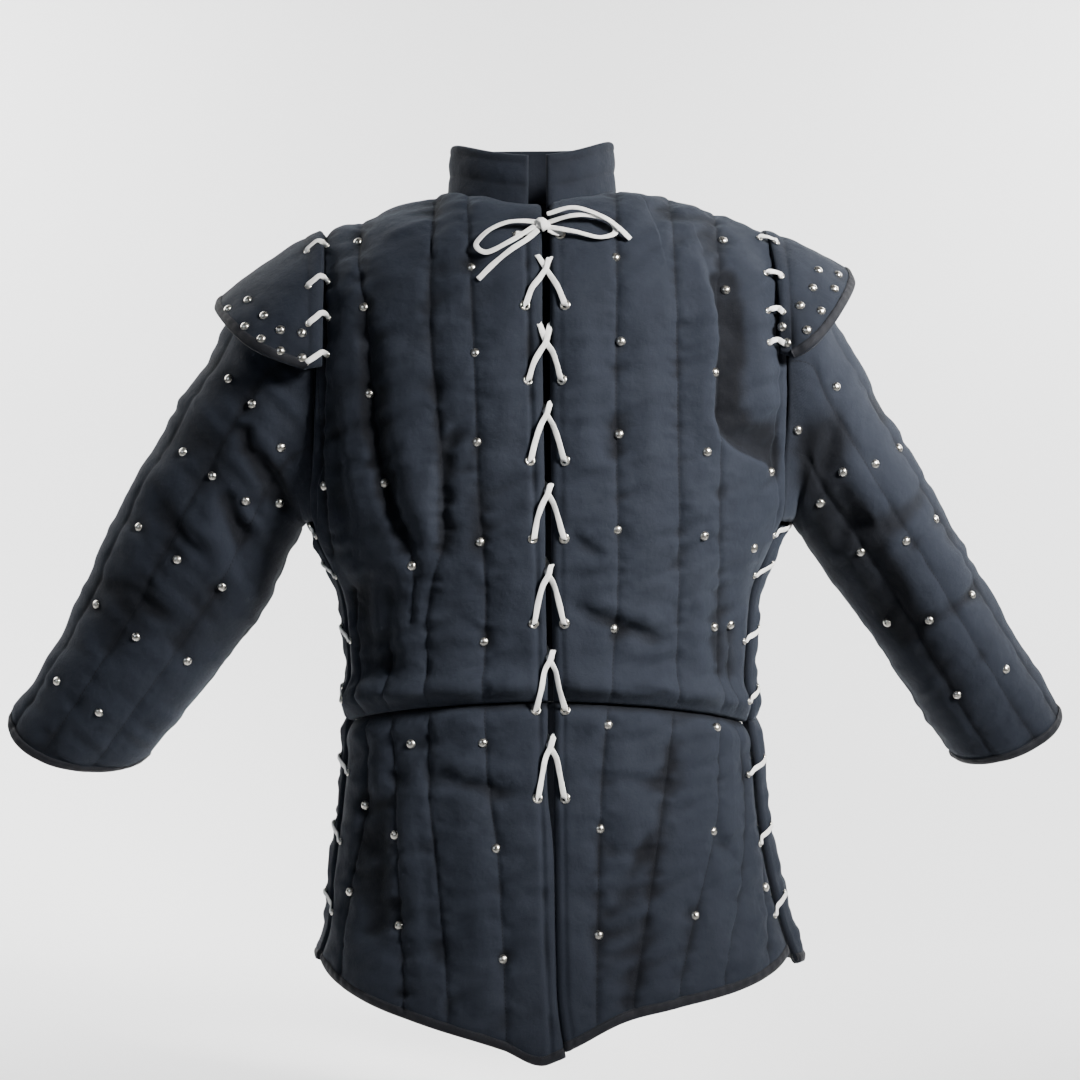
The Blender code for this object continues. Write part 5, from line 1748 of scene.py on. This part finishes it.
# ---- laces
@dataclass
class Laces:
    """The front lace and its bow, the side laces and the shoulder laces."""

    cloth: ClothField
    body: CoatBody
    wings: dict[Side, Wing]
    finish: Cover
    width: float = 0.0056
    thick: float = 0.0015
    behind: float = 0.0114
    side_heights: tuple[float, ...] = (-0.728, -0.658, -0.59, -0.518, -0.457, -0.39, -0.349)
    side_in: float = 0.011
    side_slope: float = 0.014
    lift: float = 0.0022
    under: Pair = (0.0105, 0.0148)
    wing_rows: tuple[float, ...] = (0.955, 0.818, 0.613, 0.336)
    body_in: Pair = (0.007, 0.017)
    wing_in: Pair = (0.019, 0.007)
    knot: Pair = (0.003, -0.0478)
    arms: dict[tuple[int, bool], Pair] = field(default_factory=lambda: {
        (1, True): (0.004, 0.013), (1, False): (-0.0084, 0.015),
        (2, True): (0.0026, 0.013), (2, False): (-0.007, 0.019)})
    low_arms: tuple[Pair, Pair] = ((-0.0014, 0.004), (0.0028, 0.01))
    arm_rise: Rows = (
        (0.0, 0.0016), (0.45, 0.0015), (0.8, 0.0006), (1.1, -0.0018), (1.4, -0.006), (1.8, -0.0124))
    eyelet_spots: dict[str, list[Spot]] = field(default_factory=dict)
    bow: dict[str, Rows] = field(default_factory=lambda: {
        "bow_loop_left": mm((-4, -46.2, 7.2), (-18, -46.2, 9.2), (-33.3, -48, 8.6), (-51, -56, 7),
                         (-60.8, -66.8, 5.2), (-53, -74.5, 4.8), (-29.4, -65.5, 6), (-5, -50.5, 6.8)),
        "bow_tail_left": mm((-3, -54, 6.4), (-15, -63.2, 5), (-26.5, -71.2, 3.6), (-44, -85, 2.2),
                         (-59.8, -100.5, 1.8)),
        "bow_loop_right": mm((10, -45, 7.2), (31.4, -40.5, 9.2), (50, -40.5, 8), (69, -45, 5.8),
                          (72.6, -54, 5), (58.9, -60.8, 5), (34.3, -56, 6.2), (11, -50, 6.8)),
        "bow_tail_right": mm((8.5, -39.5, 9.4), (31.4, -35.5, 12.2), (60, -44, 11.2), (75, -52, 9),
                          (88, -61, 3.4)),
    })

    def fronts(self) -> list[str]:
        """Names of the front pieces."""
        return [n for n in self.cloth.trees if n.startswith("fore_")]

    def on_front(self, x: float, z: float, rise: float) -> Spot:
        """A point over the fronts and the cloth's direction there."""
        left, right = (float(self.body.shape.opening.read(s.word, z)) for s in Side)
        if left < x < right:
            a = self.cloth.spot(self.fronts(), left - 0.004, z)
            b = self.cloth.spot(self.fronts(), right + 0.004, z)
            point, normal = (a[0] + b[0]) / 2, unit(a[1] + b[1])
            point = np.array([x, point[1], z])
        else:
            point, normal = self.cloth.spot(self.fronts(), x, z)
        return point + normal * rise, normal

    def through(self, point: Grid, normal: Grid, rise: float) -> list[Spot]:
        """The way of a lace out through the cloth, up to its rise over it."""
        return [(point + normal * depth, normal) for depth in (-self.behind, -0.004, rise)]

    def tie(self, made: Piece, line: Grid, far_end: str, lay: str) -> None:
        """Measure a finished lace along its middle line; nothing of it is kept."""
        length = float(measure(np.diff(line, axis=0)).sum())
        tuple(line[0])
        [tuple(p) for p in line]

    def draw(self, name: str, runs: Sequence[Spot], spacing: float) -> tuple[Piece, Grid]:
        """Make one lace.

        Args:
            name: the node that it stands for.
            runs: its points with face directions.
            spacing: about how far apart the points of its mesh are.

        Returns:
            The object and the lace's middle line.
        """
        both = np.array([np.concatenate(pair) for pair in runs])
        line = run_through(both, spacing)
        parts = MeshParts()
        ribbon(parts, line[:, :3], unit(line[:, 3:]), self.width, self.thick)
        made = parts.build("tied_" + name, self.finish)
        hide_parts(name)
        dress(made, Slot.LACE)
        return made, line[:, :3]

    def front_lace(self, start: Side) -> None:
        """Make one end of the front lace, from behind the lowest eyelets up to the knot."""
        rows = self.body.eyelets
        side = start

        def at(place: Side, row: int) -> Pair:
            """Place of an eyelet."""
            return rows[row][0 if place is Side.LEFT else 1], rows[row][2]

        low, normal = self.on_front(*at(side, -1), 0.0)
        run = [(low - normal * (self.behind + 0.0006) + np.array([-side.value * 0.0095, 0, -0.001]), normal)]
        for i in range(len(rows) - 1, 0, -1):
            x, z = at(side, i)
            other = Side(-side.value)
            cross = z + (at(other, i - 1)[1] - z) * (0.5 if i < 3 else 0.57)
            left, right = (float(self.body.shape.opening.read(s.word, cross)) for s in Side)
            edge = left if side is Side.LEFT else right
            over = side is Side.LEFT
            lift = self.thick + 0.0006 if over else 0.0
            middle = (left + right) / 2
            centre, n = self.on_front(x, z, 0.0)
            run += [*self.through(centre, n, 0.0024),
                    self.on_front(x + (edge - x) * 0.45 + side.value * 0.0004, z + (cross - z) * 0.45,
                                  0.0022 + lift * 0.2),
                    self.on_front(edge + side.value * 0.003, cross - 0.009, 0.0019 + lift * 0.7)]
            dx, dz = self.arms.get((i, over), self.low_arms[over])
            for share, rise in self.arm_rise:
                run.append(self.on_front(middle + dx * share, cross + dz * share,
                                         rise + lift * max(0.0, 1 - share)))
            side = other
        x, z = at(side, 0)
        centre, n = self.on_front(x, z, 0.0)
        run += [*self.through(centre, n, 0.0024),
                self.on_front((x + self.knot[0] + side.value * 0.0075) / 2, (z + self.knot[1] - 0.006) / 2,
                              0.003),
                self.on_front(self.knot[0] + side.value * 0.0052, self.knot[1] - 0.005, 0.0046)]
        name = "front_lace_" + start.word
        self.tie(*self.draw(name, run, 0.0013), "object", "taut")

    def bow_runs(self) -> None:
        """Make the bow's loops, tails and knot."""
        kx, kz = self.knot
        centre, n = self.on_front(kx, kz, 0.0062)
        for name, places in self.bow.items():
            run = [self.on_front(*place) for place in places]
            if "loop" in name:
                lean = [0.0, 0.15, 0.25, 0.35, 0.5, 0.35, 0.2, 0.1, 0.0]
                run = [(p, unit(m + np.array([0, 0, 1.0]) * lean[min(i, 8)])) for i, (p, m) in enumerate(run)]
            self.tie(*self.draw(name, run, 0.0015), "object" if "loop" in name else "bare", "loose")
        parts = MeshParts()
        side = np.array([1.0, 0.0, 0.0])
        up = np.cross(side, n)
        turn = np.linspace(0, 2 * math.pi, 40)
        wrap = (centre + side * 0.0012 + np.cos(turn)[:, None] * n * 0.0042
                + np.sin(turn)[:, None] * up * 0.0056 + side * (0.0012 * np.sin(turn * 0.5))[:, None])
        ribbon(parts, wrap, wrap - centre, 0.0062, self.thick * 1.15)
        slant = unit(side * 0.86 - np.array([0, 0, 0.5]))
        band = np.linspace(-1, 1, 24)
        bridge = (centre + slant * (band * 0.0062)[:, None] + n * (0.005 - 0.0042 * band**2)[:, None]
                  + up * (0.0012 * band)[:, None])
        ribbon(parts, bridge, np.repeat(n[None], len(bridge), 0), 0.005, self.thick)
        core = np.linspace(-1, 1, 14)
        heart = centre + side * (core * 0.0058)[:, None] - n * (0.0006 + 0.0012 * core**2)[:, None]
        ribbon(parts, heart, np.repeat(n[None], len(heart), 0), 0.0084, 0.0066)
        made = parts.build("tied_bow_knot", self.finish)
        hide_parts("bow_knot")
        dress(made, Slot.LACE)

    def near_side(self, side: Side, back: bool, z: float, inset: float) -> Spot:
        """A point near a panel's side edge; a negative inset is past the edge."""
        shape = self.body.shape
        low = float(shape.waist(back, 1.0))
        upper = z > low
        surface = shape.upper if upper else shape.skirt
        if upper:
            v = (z - low) / (shape.chest - low)
        else:
            foot = float(shape.hem.read("back" if back else side.word, 1.0))
            v = (z - low) / (foot - low)
        p, n, _ = set_in(lambda a, b: surface(side, back, a, b), 1.0, inset, v)
        n = outwards(n, np.array([p[0] - 0.01, p[1], 0]))
        name = ("back_body" if upper else "back_skirt") if back else \
            ("fore_body_" if upper else "fore_skirt_") + side.word
        return self.cloth.land(name, p, n), n

    def side_lace(self, side: Side) -> None:
        """Make the lace down one open side and note its eyelets."""
        run, spots = [], []
        for z in self.side_heights:
            front, n1 = self.near_side(side, False, z, self.side_in)
            edge1, m1 = self.near_side(side, False, z + self.side_slope * 0.35, 0.003)
            edge2, m2 = self.near_side(side, True, z + self.side_slope * 0.65, 0.003)
            rear, n2 = self.near_side(side, True, z + self.side_slope, self.side_in)
            spots += [(front, n1), (rear, n2)]
            mid = (edge1 + edge2) / 2
            run += [*self.through(front, n1, self.lift), (edge1 + m1 * 0.0028, m1),
                    (mid + unit(m1 + m2) * 0.003, unit(m1 + m2)),
                    (edge2 + m2 * 0.0028, m2), *self.through(rear, n2, self.lift)[::-1]]
        self.eyelet_spots["side_eyelets_" + side.word] = spots
        self.draw("side_lace_" + side.word, run, 0.0017)

    def shoulder_lace(self, side: Side) -> None:
        """Make the lace that holds one wing and note its eyelets."""
        wing, shape = self.wings[side], self.body.shape
        body_in, wing_in = (pair[side is Side.RIGHT] for pair in (self.body_in, self.wing_in))
        run, spots = [], []
        for along in [-r for r in self.wing_rows] + list(reversed(self.wing_rows)):
            back = along > 0
            v = 2 - abs(along) * wing.reach
            p, n1, width = set_in(lambda a, b: shape.upper(side, back, a, b), wing.inner, body_in, v)
            out = p - wing.centre()
            n1 = outwards(n1, out * np.array([0.2, 1, 1]))
            body = self.cloth.land("back_body" if back else "fore_body_" + side.word, p, n1)
            length = measure(wing.points(along, 1.0) - wing.points(along, 0.0))
            t = np.array(wing_in / length)
            q, n2 = wing.points(along, t), wing.normals(np.array(along), t)
            on_wing = self.cloth.land(wing.name, q, n2)
            brink = wing.points(along, 0.03) + n2 * 0.003
            under = shape.upper(side, back, wing.inner + self.under[0] / width, v) - n1 * self.under[1]
            spots += [(body, n1), (on_wing, n2)]
            run += [*self.through(body, n1, 0.0026),
                    ((body + brink) / 2 + n2 * 0.003, n2), (brink + n2 * 0.0006, n2),
                    ((brink + on_wing) / 2 + n2 * 0.0024, n2), (on_wing + n2 * self.lift, n2),
                    (on_wing - n2 * 0.004, n2), (under, n2)]
        self.eyelet_spots["shoulder_eyelets_" + side.word] = spots
        self.draw("shoulder_lace_" + side.word, run, 0.0017)

    def build(self) -> None:
        """Make every lace."""
        for side in Side:
            self.front_lace(side)
        self.bow_runs()
        for side in Side:
            self.side_lace(side)
            self.shoulder_lace(side)


# ---- stage
@dataclass(frozen=True)
class Studio:
    """Camera, lights and a plain pale surround."""

    distance: float = 2.2
    height: float = -0.3536
    lens: float = 70.5
    floor: float = -1.05

    def camera(self) -> None:
        """Put the camera level in front of the coat."""
        data = bpy.data.cameras.new("camera")
        data.lens, data.sensor_width = self.lens, 36.0
        camera = bpy.data.objects.new("camera", data)
        camera.location = (0.0, -self.distance, self.height)
        camera.rotation_euler = (math.radians(90), 0.0, 0.0)
        bpy.context.scene.collection.objects.link(camera)
        bpy.context.scene.camera = camera

    def light(self, name: str, place: Triple, aim: Triple,
              size: float, power: float, colour: Triple, spread: float = 180.0) -> None:
        """Add one soft square light aimed at a point, its beam so many degrees wide."""
        data = bpy.data.lights.new(name, "AREA")
        data.spread = math.radians(spread)
        data.shape, data.size, data.energy, data.color = "SQUARE", size, power, colour
        light = bpy.data.objects.new(name, data)
        light.location = place
        light.rotation_euler = (Vector(aim) - Vector(place)).to_track_quat("-Z", "Y").to_euler()
        bpy.context.scene.collection.objects.link(light)

    def build(self) -> None:
        """Make the camera, the lights and the surround."""
        self.camera()
        self.light("key", (1.75, -1.6, 0.75), (0.13, 0.0, -0.34), 0.6, 13.0, (1.0, 0.985, 0.96), 34.0)
        self.light("fill", (-2.2, -2.4, 0.6), (0.0, 0.0, -0.35), 1.8, 2.5, (0.78, 0.88, 1.0), 60.0)
        self.light("top", (0.1, 0.2, 2.2), (0.0, 0.0, -0.2), 1.4, 1.5, (1.0, 1.0, 1.0))
        self.light("back_left", (-1.6, 0.9, 0.7), (-0.5, 2.4, -0.5), 1.6, 105.0, (1.0, 1.0, 1.0))
        self.light("back_right", (1.6, 0.9, 0.7), (0.5, 2.4, -0.5), 1.6, 105.0, (1.0, 1.0, 1.0))
        world = bpy.data.worlds.new("studio")
        world.use_nodes = True
        world.node_tree.nodes["Background"].inputs["Color"].default_value = (0.93, 0.95, 1.0, 1.0)
        world.node_tree.nodes["Background"].inputs["Strength"].default_value = 0.04
        bpy.context.scene.world = world
        x = np.linspace(-6, 6, 3)
        bend = [(-4.0, 0.0), (1.4, 0.0)]
        bend += [(1.4 + 0.9 * math.sin(a), 0.9 - 0.9 * math.cos(a))
                 for a in np.linspace(0.1, math.pi / 2, 12)]
        bend += [(2.3, 4.0)]
        points = np.array([[a, y, self.floor + z] for a in x for y, z in bend])
        n = len(bend)
        parts = MeshParts()
        parts.add(points, [quads(np.arange(2), np.arange(n - 1), lambda i, j: i * n + j)], points[:, :2])
        pale = PlainFinish("pale_surround", (0.9, 0.9, 0.9, 1.0), 0.95)
        parts.build("surround", pale.make())


# ---- the whole coat
SLEEVE_COLUMNS = ("at", "out_x", "out_z", "in_x", "in_z", "mid_y", "deep")
WING_COLUMNS = ("along", "x", "z", "y")


def make_sleeves() -> list[Sleeve]:
    """Both sleeves with their sections, studs and folds."""
    left = Sleeve(
        Side.LEFT,
        Table(SLEEVE_COLUMNS, (
            (0.1, -0.289, -0.086, -0.243, -0.335, 0.0, 0.08),
            (0.19, -0.323, -0.134, -0.246, -0.337, 0.002, 0.08),
            (0.28, -0.357, -0.187, -0.25, -0.34, 0.006, 0.077),
            (0.38, -0.396, -0.25, -0.254, -0.35, 0.014, 0.073),
            (0.52, -0.442, -0.326, -0.292, -0.424, 0.028, 0.068),
            (0.66, -0.479, -0.4, -0.34, -0.487, 0.045, 0.064),
            (0.82, -0.523, -0.481, -0.4, -0.558, 0.065, 0.06),
            (1.0, -0.569, -0.543, -0.426, -0.59, 0.083, 0.058))),
        0.034,
        mm((-314.4, -190.9), (-289.2, -217.1), (-260.4, -260.6), (-363.5, -264), (-332, -288.8),
        (-298.1, -314.1), (-265.5, -316), (-412.4, -340.2), (-370.8, -373.5), (-326.6, -401.9),
        (-462.2, -420.7), (-417.2, -453.8), (-366.8, -479.5), (-506.3, -501.7), (-459.7, -533.3)),
        (0.6, 1.35, 2.1, 3.14, 4.19, 5.2, 6.1),
        folded(
            (((-321.8, -300), (-310, -330), (-297.5, -359.7)), -5, 9, 12),
            (((-295.5, -233), (-295, -250), (-293, -273)), -4, 8, 11),
            (((-291.5, -253.1), (-270, -295), (-247.6, -333)), -4.8, 9, 12),
            (((-350, -330), (-330, -360), (-312, -400)), 4, 12, 14),
            (((-400, -300), (-370, -340), (-330, -380)), -3, 9, 12),
            (((-460, -390), (-420, -410), (-372, -440)), -2.8, 8, 12)),
    )
    right = Sleeve(
        Side.RIGHT,
        Table(SLEEVE_COLUMNS, (
            (0.1, 0.283, -0.084, 0.262, -0.332, 0.0, 0.08),
            (0.18, 0.303, -0.129, 0.264, -0.335, 0.001, 0.08),
            (0.26, 0.321, -0.158, 0.267, -0.34, 0.003, 0.079),
            (0.33, 0.339, -0.187, 0.27, -0.345, 0.006, 0.078),
            (0.43, 0.381, -0.257, 0.278, -0.356, 0.014, 0.076),
            (0.54, 0.425, -0.328, 0.309, -0.391, 0.028, 0.072),
            (0.72, 0.486, -0.43, 0.38, -0.489, 0.052, 0.067),
            (0.88, 0.533, -0.498, 0.424, -0.561, 0.07, 0.063),
            (1.0, 0.559, -0.537, 0.448, -0.59, 0.08, 0.061))),
        0.017,
        mm((298.2, -199.5), (259, -243.2), (368.7, -259.1), (339, -276.7), (305.4, -285.1), (285, -316.1),
        (407.7, -332), (373.2, -354.6), (329.2, -365.9), (448.4, -410.6), (401.7, -436.5), (361.8, -439.9),
        (485, -488.1), (435.4, -515.2)),
        (0.6, 1.35, 2.1, 3.14, 4.19, 5.2, 6.1),
        folded(
            (((340, -330), (315, -350), (296, -360)), -4, 9, 12),
            (((400, -300), (370, -330), (335, -350)), -3, 9, 12),
            (((470, -400), (430, -420), (380, -450)), -2.6, 9, 12),
            (((300, -230), (290, -270), (284, -300)), -3, 9, 12),
            (((284, -210), (300, -300), (344, -380), (402, -470)), -5.2, 18, 34)),
    )
    return [left, right]


def make_wings() -> dict[Side, Wing]:
    """Both shoulder wings with their outlines and studs."""
    left = Wing(
        Side.LEFT,
        Table(WING_COLUMNS, (
            (0.0, -0.228, -0.187, -0.104), (0.18, -0.262, -0.175, -0.112), (0.4, -0.292, -0.159, -0.104),
            (0.6, -0.314, -0.139, -0.084), (0.8, -0.331, -0.12, -0.046), (1.0, -0.3375, -0.106, 0.0))),
        1.1,
        mm((-315.1, -120.3), (-293.6, -112.3), (-274.5, -130.4), (-293.6, -141.1), (-275.8, -154.7),
        (-257, -145.7), (-256.5, -166.9), (-235.7, -148.6), (-235.4, -173.6)),
    )
    right = Wing(
        Side.RIGHT,
        Table(WING_COLUMNS, (
            (0.0, 0.249, -0.176, -0.104), (0.18, 0.268, -0.164, -0.112), (0.4, 0.287, -0.145, -0.104),
            (0.6, 0.306, -0.119, -0.084), (0.8, 0.321, -0.094, -0.046), (1.0, 0.3245, -0.076, 0.0))),
        1.07,
        mm((280.6, -81.6), (302.9, -84.2), (272.3, -101.8), (295.3, -101.5), (258.2, -120.8), (279.2, -126),
        (240.2, -142.2), (264, -146), (244.8, -158.3)),
    )
    return {Side.LEFT: left, Side.RIGHT: right}


def main() -> None:
    """Build the coat piece by piece on the frame."""
    logging.basicConfig(level=logging.INFO, format="%(name)s: %(message)s")
    Studio().build()
    finishes = Finishes.make()
    cloth = ClothField()
    body = CoatBody()
    body.build(finishes, cloth)
    Collar().build(finishes.cloth, cloth)
    sleeves = make_sleeves()
    for sleeve in sleeves:
        sleeve.build(finishes, cloth)
    wings = make_wings()
    for wing in wings.values():
        wing.build(finishes, cloth)
    laces = Laces(cloth, body, wings, finishes.lace)
    laces.build()
    metal = Metalwork(cloth, finishes.metal, finishes.hollow)
    for side in Side:
        metal.studs("studs_front_" + side.word, ["fore_body_" + side.word, "fore_skirt_" + side.word],
                    getattr(body, "studs_" + side.word))
        column = 0 if side is Side.LEFT else 1
        spots = [laces.on_front(row[column], row[2], 0.0) for row in body.eyelets]
        metal.eyelets("front_eyelets_" + side.word, spots,
                      [f"eyelet_{side.word}_{i + 1}" for i in range(len(spots))])
    metal.studs("studs_back", ["back_body", "back_skirt"], body.back_studs(), back=True)
    for sleeve in sleeves:
        metal.studs("studs_" + sleeve.name, [sleeve.name], sleeve.studs)
    for wing in wings.values():
        metal.studs("studs_" + wing.name, [wing.name], wing.studs)
    for name, spots in laces.eyelet_spots.items():
        metal.eyelets(name, spots, [])


if __name__ == "__main__":
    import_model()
    main()
